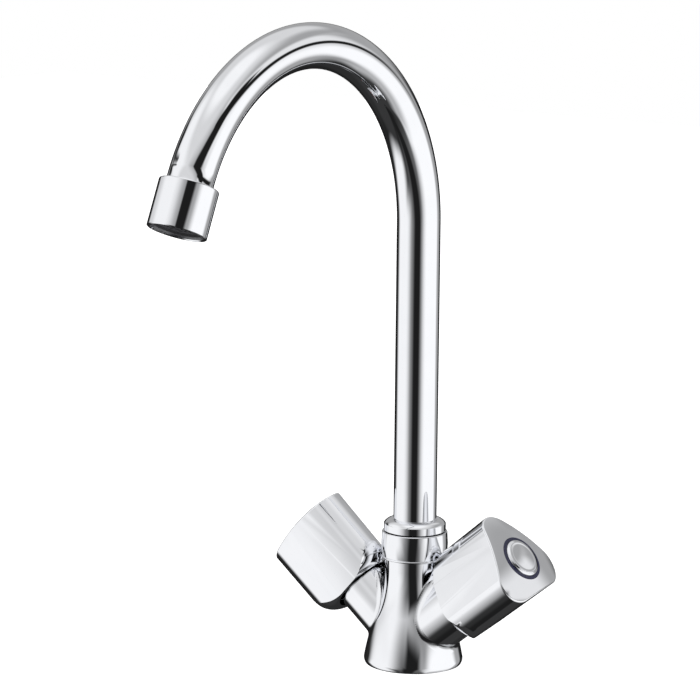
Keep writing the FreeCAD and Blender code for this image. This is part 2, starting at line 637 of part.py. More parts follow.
def make_tube():
    """Bent spout tube: straight, one arc and a short straight end in the nozzle."""
    bend = "tap.bend_sweep * 1deg"
    body = new_body("spout_tube")
    path = new_sketch(body, "tube_path", "YZ_Plane")
    foot = Vector(0, value(TUBE_FOOT), 0)
    start = Vector(0, value("tap.bend_start"), 0)
    radius = value("tap.bend_radius")
    sweep = math.radians(value("tap.bend_sweep"))
    centre = Vector(-radius, start.y, 0)
    end = centre + Vector(math.cos(sweep), math.sin(sweep), 0) * radius
    last = end + Vector(-math.sin(sweep), math.cos(sweep), 0) * value("tap.spout_stub + tap.nozzle_socket")
    rise = path.addGeometry(Part.LineSegment(foot, start), False)
    arc = path.addGeometry(Part.ArcOfCircle(Part.Circle(centre, Vector(0, 0, 1), radius), 0, sweep), False)
    stub = path.addGeometry(Part.LineSegment(end, last), False)
    pin_point(path, rise, 1, "0", TUBE_FOOT)
    pin_point(path, rise, 2, "0", "tap.bend_start")
    path.addConstraint(Sketcher.Constraint("Coincident", rise, 2, arc, 1))
    pin_point(path, arc, 3, "-tap.bend_radius", "tap.bend_start")
    bind(path, "DistanceX", (-1, 1, arc, 2), f"-tap.bend_radius * (1 - cos({bend}))")
    path.addConstraint(Sketcher.Constraint("Coincident", arc, 2, stub, 1))
    reach = "(tap.spout_stub + tap.nozzle_socket)"
    pin_point(path, stub, 2,
              f"-tap.bend_radius * (1 - cos({bend})) - {reach} * sin({bend})",
              f"tap.bend_start + tap.bend_radius * sin({bend}) + {reach} * cos({bend})")
    section = new_sketch(body, "tube_section", "XY_Plane", TUBE_FOOT)
    circle(section, "tap.tube_radius")
    circle(section, TUBE_INNER)
    pipe = body.newObject("PartDesign::AdditivePipe", "tube")
    pipe.Profile = section
    pipe.Spine = (path, [])
    doc.recompute()
    area = math.pi * (value("tap.tube_radius") ** 2 - value(TUBE_INNER) ** 2)
    length = (start - foot).Length + radius * sweep + (last - end).Length
    print("tube: volume over section times length", round(body.Shape.Volume / (area * length), 5))
    return body


def make_collar():
    """Chrome trim ring that turns with the tube and hides the nut's lip."""
    top = f"({COLLAR_LOW} + tap.collar_height)"
    shoulder_low = f"({COLLAR_LOW} + tap.collar_side)"
    ledge = "(tap.tube_radius + tap.collar_ledge)"
    body = new_body("spout_collar")
    turn(body, "collar", [
        ("tap.tube_radius", COLLAR_LOW),
        ("tap.collar_radius - tap.collar_bevel", COLLAR_LOW),
        ("tap.collar_radius", f"{COLLAR_LOW} + tap.collar_bevel"),
        ("tap.collar_radius", shoulder_low),
        (ledge, top, f"(tap.collar_radius - {ledge})"),
        ("tap.tube_radius", top)])
    return body


# ---------------------------------------------------------------------------------------------
# The nozzle
# ---------------------------------------------------------------------------------------------
def make_nozzle():
    """Chrome cup on the end of the tube."""
    step_low = "tap.nozzle_socket"
    step_top = "(tap.nozzle_socket + tap.nozzle_step)"
    body = new_body("nozzle_housing")
    turn(body, "nozzle", [
        ("tap.tube_radius", "0"),
        ("tap.nozzle_radius - tap.nozzle_edge", "0"),
        ("tap.nozzle_radius", "tap.nozzle_edge", "tap.nozzle_edge"),
        ("tap.nozzle_radius", "tap.nozzle_length - tap.nozzle_bevel"),
        ("tap.nozzle_radius - tap.nozzle_bevel", "tap.nozzle_length"),
        (f"{NOZZLE_BORE} + tap.nozzle_lip", "tap.nozzle_length"),
        (NOZZLE_BORE, "tap.nozzle_length - tap.nozzle_lip"),
        (NOZZLE_BORE, step_top),
        ("tap.nozzle_step_radius", step_top),
        ("tap.nozzle_step_radius", step_low),
        ("tap.tube_radius", step_low)])
    return at_nozzle(body)


def make_aerator_washer():
    """Rubber washer between the nozzle's step and the aerator."""
    body = new_body("aerator_washer")
    turn(body, "washer", tube_profile(
        "tap.nozzle_step_radius", CASE_RADIUS, "tap.nozzle_socket + tap.nozzle_step", CASE_START))
    return at_nozzle(body)


def make_aerator_case():
    """Plastic case with a perforated plate that splits the water into jets."""
    body = new_body("aerator_case")
    turn(body, "case", [
        ("0", CASE_START),
        (CASE_RADIUS, CASE_START),
        (CASE_RADIUS, CASE_END),
        (CASE_BORE, CASE_END),
        (CASE_BORE, f"{CASE_START} + tap.aerator_sieve"),
        ("0", f"{CASE_START} + tap.aerator_sieve")])
    for ring in (1, 2):
        sketch = new_sketch(body, f"jet_{ring}", "XY_Plane", CASE_START)
        circle(sketch, "tap.sieve_hole", f"{ring} * tap.sieve_pitch")
        jet = pocket(body, f"jets_{ring}", sketch, "tap.aerator_sieve", reverse=True)
        pattern = body.newObject("PartDesign::PolarPattern", f"jet_ring_{ring}")
        pattern.Originals = [jet]
        pattern.Axis = (sketch, ["N_Axis"])
        pattern.Angle = 360
        pattern.Occurrences = 6 * ring
        body.Tip = pattern
        doc.recompute()
    return at_nozzle(body)


def make_aerator_grid():
    """Outlet grid: crossing bars in a thin ring."""
    radius = f"({CASE_BORE} - tap.thread_gap)"
    top = f"({CASE_END} - tap.grid_inset)"
    low = f"({top} - tap.grid_thickness)"
    body = new_body("aerator_grid")
    turn(body, "plate", tube_profile("0", radius, low, top))
    half = "((tap.grid_pitch - tap.grid_bar) / 2)"
    pitch = value("tap.grid_pitch")
    room = value(radius) - value("tap.grid_bar")
    count = int(room / pitch)
    sketch = new_sketch(body, "grid_cells", "XY_Plane", low)
    for column in range(-count, count + 1):
        for line in range(-count, count + 1):
            if math.hypot(abs(column) + 0.5, abs(line) + 0.5) * pitch > room:
                continue
            across = f"{column} * tap.grid_pitch"
            along = f"{line} * tap.grid_pitch"
            outline(sketch, [
                (f"{across} - {half}", f"{along} - {half}"),
                (f"{across} + {half}", f"{along} - {half}"),
                (f"{across} + {half}", f"{along} + {half}"),
                (f"{across} - {half}", f"{along} + {half}")])
    pocket(body, "grid_openings", sketch, "tap.grid_thickness", reverse=True)
    return at_nozzle(body)


# ---------------------------------------------------------------------------------------------
# The valves
# ---------------------------------------------------------------------------------------------
def make_seat_seal(side):
    """Rubber ring between the casting and the fixed disc."""
    body = new_body(f"{side}_seat_seal")
    turn(body, "seal", tube_profile("tap.seal_inner", "tap.seal_outer", "tap.seat_station", FIXED_DISC_LOW))
    return along_arm(body, side)


def disc_port(body, name, low, turn_degrees):
    """One sector-shaped port through a ceramic disc."""
    sketch = new_sketch(body, name + "_sector", "XY_Plane", low)
    half = "tap.disc_port_angle / 2"
    places = []
    for radius, sign in (("tap.disc_port_inner", -1), ("tap.disc_port_outer", -1),
                         ("tap.disc_port_outer", 1), ("tap.disc_port_inner", 1)):
        angle = f"({turn_degrees} + {sign} * {half}) * 1deg"
        places.append((f"{radius} * cos({angle})", f"{radius} * sin({angle})"))
    outline(sketch, [
        places[0],
        places[1],
        places[2] + ("tap.disc_port_outer",),
        places[3]])
    return pocket(body, name, sketch, "tap.disc_thickness", reverse=True)


def make_disc(label, side, radius, low, port_turn):
    """Ceramic disc with two ports that the other disc opens or covers."""
    body = new_body(f"{side}_{label}")
    turn(body, "disc", tube_profile("0", radius, low, f"{low} + tap.disc_thickness"))
    disc_port(body, "port_a", low, port_turn)
    disc_port(body, "port_b", low, port_turn + 180)
    return along_arm(body, side)


def make_valve_body(side):
    """Brass valve body with a hexagon, screwed into the arm."""
    thread = "(tap.bore_radius - tap.thread_gap)"
    bore = "(tap.spindle_radius + tap.running_gap)"
    low = "(tap.seat_station + tap.valve_seat_gap)"
    body = new_body(f"{side}_valve_body")
    turn(body, "shell", [
        (VALVE_CHAMBER_RADIUS, low),
        ("tap.valve_lower_radius", low),
        ("tap.valve_lower_radius", VALVE_THREAD_LOW),
        (thread, VALVE_THREAD_LOW),
        (thread, HEX_LOW),
        ("tap.valve_neck_radius", HEX_LOW),
        ("tap.valve_neck_radius", VALVE_TOP),
        (bore, VALVE_TOP),
        (bore, VALVE_CHAMBER_TOP),
        (VALVE_CHAMBER_RADIUS, VALVE_CHAMBER_TOP)])
    sketch = new_sketch(body, "hexagon_outline", "XY_Plane", HEX_LOW)
    corner = "(tap.hexagon_flats / sqrt(3))"
    outline(sketch, [
        (f"{corner} * cos({60 * step}deg)", f"{corner} * sin({60 * step}deg)") for step in range(6)])
    circle(sketch, "tap.valve_neck_radius - 1")
    extrude(body, "hexagon", sketch, "tap.hexagon_height")
    sketch = new_sketch(body, "window_outline", "XZ_Plane")
    half = "(tap.window_width / 2)"
    window_low = f"({MOVING_DISC_LOW} - tap.disc_film)"
    window_top = f"({window_low} + tap.window_length)"
    outline(sketch, [
        ("-" + half, window_low), (half, window_low), (half, window_top), ("-" + half, window_top)])
    pocket(body, "windows", sketch, "3 * tap.bore_radius", both=True)
    return along_arm(body, side)


def make_valve_gasket(side):
    """Flat ring between the arm's end and the hexagon."""
    body = new_body(f"{side}_valve_gasket")
    turn(body, "ring", tube_profile(
        "tap.bore_radius + tap.gasket_ring_room", "tap.arm_end_radius - tap.gasket_ring_inset",
        "tap.arm_length", HEX_LOW))
    return along_arm(body, side)


TEETH = 16


def toothed_outline(sketch, room):
    """The spindle's toothed section, or with some room round it the hole that it fits."""
    corners = []
    for step in range(2 * TEETH):
        depth = "tap.spline_depth" if step % 2 else "0"
        radius = f"(tap.spindle_radius - {depth} + {room})"
        angle = f"{180 / TEETH * step}deg"
        corners.append((f"{radius} * cos({angle})", f"{radius} * sin({angle})"))
    outline(sketch, corners)


def make_spindle(side):
    """Brass spindle: foot on the moving disc, seal groove, clip groove and toothed end."""
    body = new_body(f"{side}_spindle")
    foot = f"({VALVE_CHAMBER_RADIUS} - tap.turning_room)"
    turn(body, "stem", [
        ("0", SPINDLE_LOW),
        (foot, SPINDLE_LOW),
        (foot, SPINDLE_STEP),
        ("tap.spindle_radius", SPINDLE_STEP),
        ("tap.spindle_radius", f"{SPINDLE_END} - tap.spindle_bevel"),
        ("tap.spindle_radius - tap.spindle_bevel", SPINDLE_END),
        ("0", SPINDLE_END)])
    groove(body, "seal_groove", tube_profile(
        "tap.spindle_radius - tap.spindle_seal_depth", "tap.spindle_radius + 1",
        f"{SPINDLE_SEAL} - tap.spindle_seal_width / 2",
        f"{SPINDLE_SEAL} + tap.spindle_seal_width / 2"))
    groove(body, "clip_groove", tube_profile(
        CLIP_BORE, "tap.spindle_radius + 1", CLIP_LOW, CLIP_TOP))
    groove(body, "tapped_hole", tube_profile(
        "0", "tap.screw_radius + tap.thread_gap", f"{SPINDLE_END} - tap.screw_depth", SPINDLE_END))
    sketch = new_sketch(body, "teeth_outline", "XY_Plane", SPLINE_LOW)
    toothed_outline(sketch, "0")
    circle(sketch, "tap.spindle_radius + 1")
    pocket(body, "teeth", sketch, "tap.spline_length", reverse=True)
    return along_arm(body, side)


def make_spindle_seal(side):
    """Rubber ring on the spindle."""
    seal = ring_seal(
        f"{side}_spindle_oring",
        "tap.spindle_radius - tap.spindle_seal_depth + tap.spindle_seal_section",
        "tap.spindle_seal_section", SPINDLE_SEAL)
    return along_arm(seal, side)


def make_clip(side):
    """Open spring clip that keeps the spindle in the valve body."""
    body = new_body(f"{side}_spindle_clip")
    turn(body, "clip_ring", tube_profile(
        CLIP_BORE, "tap.clip_outer", CLIP_LOW, CLIP_TOP))
    sketch = new_sketch(body, "opening_outline", "XY_Plane", CLIP_LOW)
    half = "(tap.clip_opening / 2)"
    outline(sketch, [
        ("0", "-" + half), ("tap.clip_outer + 1", "-" + half), ("tap.clip_outer + 1", half), ("0", half)])
    pocket(body, "opening", sketch, "tap.clip_height", reverse=True)
    return along_arm(body, side)


def make_screw(side):
    """Screw that holds the handle on the spindle."""
    body = new_body(f"{side}_handle_screw")
    head_top = f"({WEB_TOP} + tap.screw_head_height)"
    turn(body, "screw", [
        ("0", SCREW_END),
        ("tap.screw_radius - tap.spindle_bevel", SCREW_END),
        ("tap.screw_radius", f"{SCREW_END} + tap.spindle_bevel"),
        ("tap.screw_radius", WEB_TOP),
        ("tap.screw_head_radius", WEB_TOP),
        ("tap.screw_head_radius", f"{head_top} - tap.screw_head_round"),
        ("tap.screw_head_radius - tap.screw_head_round", head_top, "tap.screw_head_round"),
        ("0", head_top)])
    for name, long_way in (("slot_across", True), ("slot_along", False)):
        sketch = new_sketch(body, name + "_outline", "XY_Plane", head_top)
        half = "(tap.screw_slot / 2)"
        across, along = ("tap.screw_slot_reach", half) if long_way else (half, "tap.screw_slot_reach")
        outline(sketch, [
            ("-" + across, "-" + along), (across, "-" + along), (across, along), ("-" + across, along)])
        pocket(body, name, sketch, "tap.screw_slot_depth")
    return along_arm(body, side)


# ---------------------------------------------------------------------------------------------
# The handles
# ---------------------------------------------------------------------------------------------
def lobed_outline(sketch, radius, side):
    """Three lobes joined by straight sides that touch them."""
    corners = []
    for step in range(3):
        middle = f"((tap.{side}_lobe_turn + {120 * step}) * 1deg)"
        for turn_to_side, arc in ((-60, False), (60, True)):
            angle = f"({middle} + {turn_to_side}deg)"
            across = f"tap.lobe_circle * cos({middle}) + {radius} * cos({angle})"
            along = f"tap.lobe_circle * sin({middle}) + {radius} * sin({angle})"
            corners.append((across, along, radius) if arc else (across, along))
    outline(sketch, corners)


def lobed_block(label, side, inset, high, mouth):
    """A three-lobed block, widening upwards, whose lower end is rounded in to a round mouth.

    Its sides lie inset inside the handle's outside, so with the wall's thickness as the inset it
    is the hollow of the handle."""
    body = new_body(label)
    sketch = new_sketch(body, "lobes", "XY_Plane", SKIRT_LOW)
    lobed_outline(sketch, f"(tap.lobe_radius - {inset})", side)
    block = extrude(body, "block", sketch, f"{high} - {SKIRT_LOW}")
    block.setExpression("TaperAngle", "tap.handle_taper")
    doc.recompute()
    skirt_radius = f"(tap.skirt_round - {inset})"
    low = f"({SKIRT_CENTRE_STATION} - sqrt({skirt_radius}^2 - max({mouth} - {SKIRT_CENTRE_RADIUS}; 0)^2))"
    groove(body, "rounded_skirt", [
        (mouth, low, "-" + skirt_radius),
        (mouth, f"{SKIRT_LOW} - 1"),
        (HANDLE_OUTSIDE, f"{SKIRT_LOW} - 1"),
        (HANDLE_OUTSIDE, SKIRT_CENTRE_STATION),
        (f"{HANDLE_REACH} - {inset}", SKIRT_CENTRE_STATION)])
    return body


def rim_edges(shape):
    """The edges round the domed end."""
    names = []
    for index, edge in enumerate(shape.Edges, start=1):
        faces = shape.ancestorsOfType(edge, Part.Face)
        if any(isinstance(face.Surface, Part.Sphere) for face in faces):
            names.append(f"Edge{index}")
    return names


def make_handle(side):
    """Hollow three-lobed handle with a boss on the spindle, a well for the screw and a cap pocket."""
    form = lobed_block(f"{side}_handle_form", side, "0", HANDLE_TOP, SKIRT_EDGE_RADIUS)
    drop = f"(tap.dome_radius - sqrt(tap.dome_radius^2 - {HANDLE_OUTSIDE}^2))"
    groove(form, "domed_end", [
        ("0", HANDLE_TOP),
        (HANDLE_OUTSIDE, f"{HANDLE_TOP} - {drop}", "-tap.dome_radius"),
        (HANDLE_OUTSIDE, f"{HANDLE_TOP} + 1"),
        ("0", f"{HANDLE_TOP} + 1")])
    square = form.Tip
    rounded = form.newObject("PartDesign::Fillet", "rim")
    rounded.Base = (square, rim_edges(square.Shape))
    rounded.setExpression("Radius", "tap.rim_round")
    doc.recompute()

    core = lobed_block(f"{side}_handle_core", side, "tap.handle_wall", ROOF_LOW, SKIRT_MOUTH)

    boss = new_body(f"{side}_handle_boss")
    turn(boss, "boss", tube_profile("0", "tap.boss_radius", BOSS_LOW, POCKET_FLOOR))

    drill = new_body(f"{side}_handle_drill")
    socket = "(tap.spindle_radius + tap.socket_gap)"
    sketch = new_sketch(drill, "teeth_outline", "XY_Plane", f"{SPLINE_LOW} - 1")
    toothed_outline(sketch, "tap.socket_gap")
    extrude(drill, "teeth", sketch, f"{WEB_LOW} - {SPLINE_LOW} + 1")
    screw_way = "(tap.screw_radius + tap.turning_room)"
    turn(drill, "drill", [
        ("0", f"{BOSS_LOW} - 1"),
        (socket, f"{BOSS_LOW} - 1"),
        (socket, f"{SPLINE_LOW} + tap.face_gap"),
        (screw_way, f"{SPLINE_LOW} + tap.face_gap"),
        (screw_way, WEB_TOP),
        ("tap.well_radius", WEB_TOP),
        ("tap.well_radius", POCKET_FLOOR),
        ("tap.pocket_radius", POCKET_FLOOR),
        ("tap.pocket_radius", f"{HANDLE_TOP} + 1"),
        ("0", f"{HANDLE_TOP} + 1")])
    for tool in (form, core, boss, drill):
        along_arm(tool, side)
    shell = doc.addObject("Part::Cut", f"{side}_handle_shell")
    shell.Base = form
    shell.Tool = core
    filled = doc.addObject("Part::Fuse", f"{side}_handle_filled")
    filled.Base = shell
    filled.Tool = boss
    handle = doc.addObject("Part::Cut", f"{side}_handle")
    handle.Base = filled
    handle.Tool = drill
    doc.recompute()
    return handle


def make_index_ring(side):
    """Coloured ring that tells hot from cold, in the pocket of the handle."""
    body = new_body(f"{side}_index_ring")
    turn(body, "ring", [
        (INDEX_INNER, POCKET_FLOOR),
        (INDEX_OUTER, POCKET_FLOOR),
        (INDEX_OUTER, f"{POCKET_EDGE} + tap.index_proud"),
        (INDEX_INNER, f"{POCKET_EDGE} + tap.index_proud")])
    return along_arm(body, side)


def make_cap(side):
    """Domed chrome cap with a plug that snaps into the screw's well."""
    shoulder = f"({POCKET_EDGE} + tap.index_proud + tap.cap_edge)"
    flat = f"({CAP_RADIUS} - tap.cap_round)"
    body = new_body(f"{side}_cap")
    turn(body, "cap", [
        ("0", f"{POCKET_FLOOR} - tap.cap_stem_length"),
        ("tap.cap_stem_radius", f"{POCKET_FLOOR} - tap.cap_stem_length"),
        ("tap.cap_stem_radius", POCKET_FLOOR),
        (CAP_RADIUS, POCKET_FLOOR),
        (CAP_RADIUS, f"{shoulder} - tap.cap_round"),
        (flat, shoulder, "tap.cap_round"),
        ("0", f"{shoulder} + tap.cap_rise", f"(({flat}^2 + tap.cap_rise^2) / (2 * tap.cap_rise))")])
    return along_arm(body, side)


# ---------------------------------------------------------------------------------------------
# The whole tap
# ---------------------------------------------------------------------------------------------
pieces = [
    make_casting(),
    make_base_gasket(),
    make_swivel_nut(),
    make_slip_washer(),
    make_spigot(),
    make_spigot_seal("lower"),
    make_spigot_seal("upper"),
    make_tube(),
    make_collar(),
    make_nozzle(),
    make_aerator_washer(),
    make_aerator_case(),
    make_aerator_grid(),
]
for side in SIDES:
    pieces += [
        make_seat_seal(side),
        make_disc("fixed_disc", side, "tap.disc_radius", FIXED_DISC_LOW, 0),
        make_disc("moving_disc", side, f"{VALVE_CHAMBER_RADIUS} - tap.turning_room", MOVING_DISC_LOW, 90),
        make_valve_body(side),
        make_valve_gasket(side),
        make_spindle(side),
        make_spindle_seal(side),
        make_clip(side),
        make_screw(side),
        make_handle(side),
        make_index_ring(side),
        make_cap(side),
    ]
doc.recompute()

for item in doc.Objects:
    if "Invalid" in item.State or "Error" in item.State:
        raise RuntimeError(f"{item.Name} failed: {item.State}")
for piece in pieces:
    shape = piece.Shape
    if shape.isNull() or not shape.isValid() or len(shape.Solids) != 1:
        raise RuntimeError(f"{piece.Label} isn't one sound solid")

os.makedirs("parts", exist_ok=True)
for piece in pieces:
    piece.Shape.exportStep(f"parts/{piece.Label}.step")
    print(f"{piece.Label}: {piece.Shape.Volume / 1000:.2f} cm3")
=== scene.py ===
# %% [markdown]
# # A two-handle kitchen tap in polished chrome
#
# The construction comes from a measured model: every piece is already there, at its real size, on
# the body that carries it.  This lesson gives those pieces the looks of the real tap.  Chrome shows
# nothing but its surroundings, so most of the work is a studio worth reflecting, and surfaces that
# are smooth enough to reflect it without a ripple.

import math

import bmesh
import bpy
import numpy as np
from mathutils import Matrix, Vector


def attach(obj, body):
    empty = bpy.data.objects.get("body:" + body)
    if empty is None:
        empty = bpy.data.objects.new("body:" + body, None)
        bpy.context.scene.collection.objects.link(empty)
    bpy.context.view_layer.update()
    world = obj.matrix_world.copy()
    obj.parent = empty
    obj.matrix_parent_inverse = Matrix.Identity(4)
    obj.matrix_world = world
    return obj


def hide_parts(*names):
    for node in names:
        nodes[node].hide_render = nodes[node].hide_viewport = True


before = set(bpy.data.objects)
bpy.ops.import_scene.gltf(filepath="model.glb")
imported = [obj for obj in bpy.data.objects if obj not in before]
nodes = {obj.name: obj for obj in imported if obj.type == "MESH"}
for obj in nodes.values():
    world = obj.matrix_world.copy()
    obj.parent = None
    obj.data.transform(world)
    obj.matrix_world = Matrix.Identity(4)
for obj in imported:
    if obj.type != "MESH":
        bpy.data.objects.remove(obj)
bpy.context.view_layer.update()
MM = 0.001

# %% [markdown]
# ## The camera
#
# The photograph is a product shot through a long lens, from the right of the spout and a little
# above.  The place, the turn and the lens below were found by fitting the tap's outline; only real
# lengths and angles are kept.  A long lens keeps the column's sides almost parallel.

# %% Camera
PHOTO_SIDE = 700                                   # pixels
SENSOR_WIDTH = 36.0                                # millimetres
FOCAL_PIXELS = 3194.5
camera_place = Vector((829.86, -1175.68, 413.37)) * MM
camera_yaw = -0.636                                # radians, from +Y towards +X
camera_pitch = -0.183
camera_roll = 0.009


def camera_axes(yaw, pitch, roll):
    """The way the camera looks, its right and its up."""
    ahead = Vector((math.cos(pitch) * math.sin(yaw), math.cos(pitch) * math.cos(yaw), math.sin(pitch)))
    level = ahead.cross(Vector((0, 0, 1))).normalized()
    upright = level.cross(ahead)
    right = level * math.cos(roll) + upright * math.sin(roll)
    up = upright * math.cos(roll) - level * math.sin(roll)
    return ahead, right, up


ahead, right, up = camera_axes(camera_yaw, camera_pitch, camera_roll)
lens = bpy.data.cameras.new("photo_camera")
lens.sensor_width = SENSOR_WIDTH
lens.lens = FOCAL_PIXELS * SENSOR_WIDTH / PHOTO_SIDE
camera = bpy.data.objects.new("photo_camera", lens)
camera.matrix_world = Matrix((right, up, -ahead)).transposed().to_4x4()
camera.location = camera_place
bpy.context.scene.collection.objects.link(camera)
bpy.context.scene.camera = camera
print("lens:", round(lens.lens, 1), "mm")

# %% [markdown]
# ## Node trees in a few words
#
# Materials, the studio and the geometry trees are all built by code.  One small helper keeps that
# short: it adds a node and joins its inputs, each either to another node's output or to a number.

# %% A helper for node trees


def grow(tree, kind, inputs=(), **settings):
    """Add a node, set it up, and feed its inputs by place or name; gives back its first output."""
    node = tree.nodes.new(kind)
    for name, choice in settings.items():
        setattr(node, name, choice)
    for key, source in (inputs.items() if isinstance(inputs, dict) else enumerate(inputs)):
        if isinstance(source, bpy.types.NodeSocket):
            tree.links.new(source, node.inputs[key])
        elif source is not None:
            node.inputs[key].default_value = source
    return next(socket for socket in node.outputs if socket.enabled)


def math_node(tree, operation, *inputs):
    """One step of arithmetic."""
    return grow(tree, "ShaderNodeMath", inputs, operation=operation)


# %% [markdown]
# ## The studio
#
# A photographer lights chrome with large white cloths and keeps its edges black with dark cards.
# Lamps would show as hot spots, so the studio here is the world itself: a sky of soft panels, each
# with a direction, a size, rounded corners and a soft edge.  A panel lies over those before it.
# Directions count from the camera: 0 degrees is behind the camera, positive is to its right.

# %% Soft panels
STUDIO_PANELS = [
    # what, brightness as seen, direction, height, half width, half height, corner, soft edge, tilt
    ("dark floor of the studio", 0.22, 0, -75, 400, 25, 0, 9, 0),
    ("cloths above", 0.87, 0, 40, 400, 42, 0, 5, 0),
    ("right cloth, in shade", 0.66, 58, 1, 89, 46, 27, 11, -6),
    ("ceiling", 1.0, 0, 85, 400, 18, 0, 9, 0),
    ("left front cloth", 0.99, -53, 19, 85, 21, 37, 10, 20),
    ("right low cloth", 0.93, 123, 15, 75, 14, 8, 5, 12),
    ("dark wall behind", 0.18, 181, -14, 41, 43, 5, 8, 0),
    ("left softbox", 1.0, -78, -21, 49, 30, 40, 10, 6),
    ("shade under the left softbox", 0.11, -19, -57, 37, 38, 0, 16, -8),
    ("right softbox", 1.03, 66, -22, 51, 36, 39, 7, -6),
    ("lower edge of the right softbox", 0.73, 83, -53, 42, 10, 7, 10, -6),
    ("shade round the camera", 0.38, -9, -19, 33, 42, 20, 22, -7),
    ("camera and its stand", 0.12, -15, -45, 16, 60, 1, 6, 13),
    ("dark card, right", 0.12, 39, 29, 61, 8.6, 39, 2.3, -1),
    ("edge of the right card", 0.11, 108, 10, 77, 4.2, 18, 2, 24),
    ("dark card, left", 0.11, -136, 18, 11, 6, 3, 3, -8),
    ("edge of the left card", 0.22, -120, 20, 36, 1.4, 20, 1.5, -25),
    ("grey cloth, far right", 0.66, 168, 12, 46, 21, 1, 9, -4),
    ("dark gap straight behind", 0.13, 180, -13, 42, 21, 6, 6, 0),
]
DARK_GROUND = 0.14                                 # brightness of what no panel covers
WHOLE_TURN = 200                                   # a half width beyond this goes all the way round
SCREEN_LIMIT, SCREEN_SLOPE, SCREEN_LIFT, SCREEN_POWER = 0.04045, 12.92, 0.055, 2.4


def linear(seen):
    """The light that shows as this brightness on a screen."""
    if seen <= SCREEN_LIMIT:
        return seen / SCREEN_SLOPE
    return ((seen + SCREEN_LIFT) / (1 + SCREEN_LIFT)) ** SCREEN_POWER


def panel_group():
    """The mask of one soft panel, from a direction given as azimuth and elevation in degrees."""
    tree = bpy.data.node_groups.new("soft_panel", "ShaderNodeTree")
    names = ["azimuth", "elevation", "direction", "height", "half_width", "half_height", "corner",
             "soft", "cosine", "sine", "everywhere"]
    for name in names:
        tree.interface.new_socket(name=name, in_out="INPUT", socket_type="NodeSocketFloat")
    tree.interface.new_socket(name="mask", in_out="OUTPUT", socket_type="NodeSocketFloat")
    given = {socket.name: socket for socket in tree.nodes.new("NodeGroupInput").outputs if socket.name}
    apart = math_node(tree, "SUBTRACT", given["azimuth"], given["direction"])
    apart = math_node(tree, "WRAP", apart, 180.0, -180.0)
    apart = math_node(tree, "MULTIPLY", apart, math_node(tree, "SUBTRACT", 1.0, given["everywhere"]))
    above = math_node(tree, "SUBTRACT", given["elevation"], given["height"])
    across = math_node(tree, "SUBTRACT", math_node(tree, "MULTIPLY", apart, given["cosine"]),
                       math_node(tree, "MULTIPLY", above, given["sine"]))
    along = math_node(tree, "ADD", math_node(tree, "MULTIPLY", apart, given["sine"]),
                      math_node(tree, "MULTIPLY", above, given["cosine"]))
    beyond = []
    for way, half in ((across, given["half_width"]), (along, given["half_height"])):
        room = math_node(tree, "SUBTRACT", half, given["corner"])
        beyond.append(math_node(tree, "SUBTRACT", math_node(tree, "ABSOLUTE", way), room))
    outside = [math_node(tree, "MAXIMUM", side, 0.0) for side in beyond]
    squares = [math_node(tree, "MULTIPLY", side, side) for side in outside]
    reach = math_node(tree, "SQRT", math_node(tree, "ADD", *squares))
    inside = math_node(tree, "MINIMUM", math_node(tree, "MAXIMUM", *beyond), 0.0)
    edge = math_node(tree, "SUBTRACT", math_node(tree, "ADD", reach, inside), given["corner"])
    low = math_node(tree, "MULTIPLY", given["soft"], -1.0)
    mask = grow(tree, "ShaderNodeMapRange", (edge, low, given["soft"], 1.0, 0.0),
                interpolation_type="SMOOTHSTEP")
    tree.links.new(mask, tree.nodes.new("NodeGroupOutput").inputs[0])
    return tree


print("panels:", len(STUDIO_PANELS), "ground:", round(linear(DARK_GROUND), 4))

# %% [markdown]
# The panels are mixed one over the other, from the direction of each ray.  Only the camera's own
# rays see plain white instead, as behind a product on a shop's page.

# %% Hang the panels
bpy.context.scene.view_settings.view_transform = "Standard"
world = bpy.data.worlds.new("studio")
bpy.context.scene.world = world
world.use_nodes = True
sky = world.node_tree
sky.nodes.clear()
way = sky.nodes.new("ShaderNodeTexCoord").outputs["Generated"]
east, north, upwards = sky.nodes.new("ShaderNodeSeparateXYZ").outputs
sky.links.new(way, east.node.inputs[0])
behind_camera = math.degrees(math.atan2(-ahead.y, -ahead.x))
turn = math_node(sky, "DEGREES", math_node(sky, "ARCTAN2", north, east))
turn = math_node(sky, "SUBTRACT", turn, behind_camera)
rise = math_node(sky, "DEGREES", math_node(sky, "ARCSINE", upwards))
soft_panel = panel_group()
light = linear(DARK_GROUND)
for _, seen, direction, height, half_width, half_height, corner, soft, tilt in STUDIO_PANELS:
    everywhere = float(half_width > WHOLE_TURN)
    sizes = (direction, height, half_width, half_height, corner, soft,
             math.cos(math.radians(tilt)), math.sin(math.radians(tilt)), everywhere)
    mask = grow(sky, "ShaderNodeGroup", node_tree=soft_panel)
    sky.links.new(turn, mask.node.inputs[0])
    sky.links.new(rise, mask.node.inputs[1])
    for place, size in enumerate(sizes, start=2):
        mask.node.inputs[place].default_value = size
    light = grow(sky, "ShaderNodeMix", {0: mask, 2: light, 3: linear(seen)}, data_type="FLOAT")
to_camera = sky.nodes.new("ShaderNodeLightPath").outputs["Is Camera Ray"]
shown = grow(sky, "ShaderNodeMix", {0: to_camera, 2: light, 3: 1.0}, data_type="FLOAT")
background = grow(sky, "ShaderNodeBackground", {"Color": (1, 1, 1, 1), "Strength": shown})
sky.links.new(background, sky.nodes.new("ShaderNodeOutputWorld").inputs["Surface"])
print("studio:", len(sky.nodes), "nodes")

# %% [markdown]
# ## Materials in a few words
#
# Every material here starts the same way: a shader, the place of each point on the object, and a
# cloudy noise at that place, because no real surface is quite even.

# %% Helpers for materials


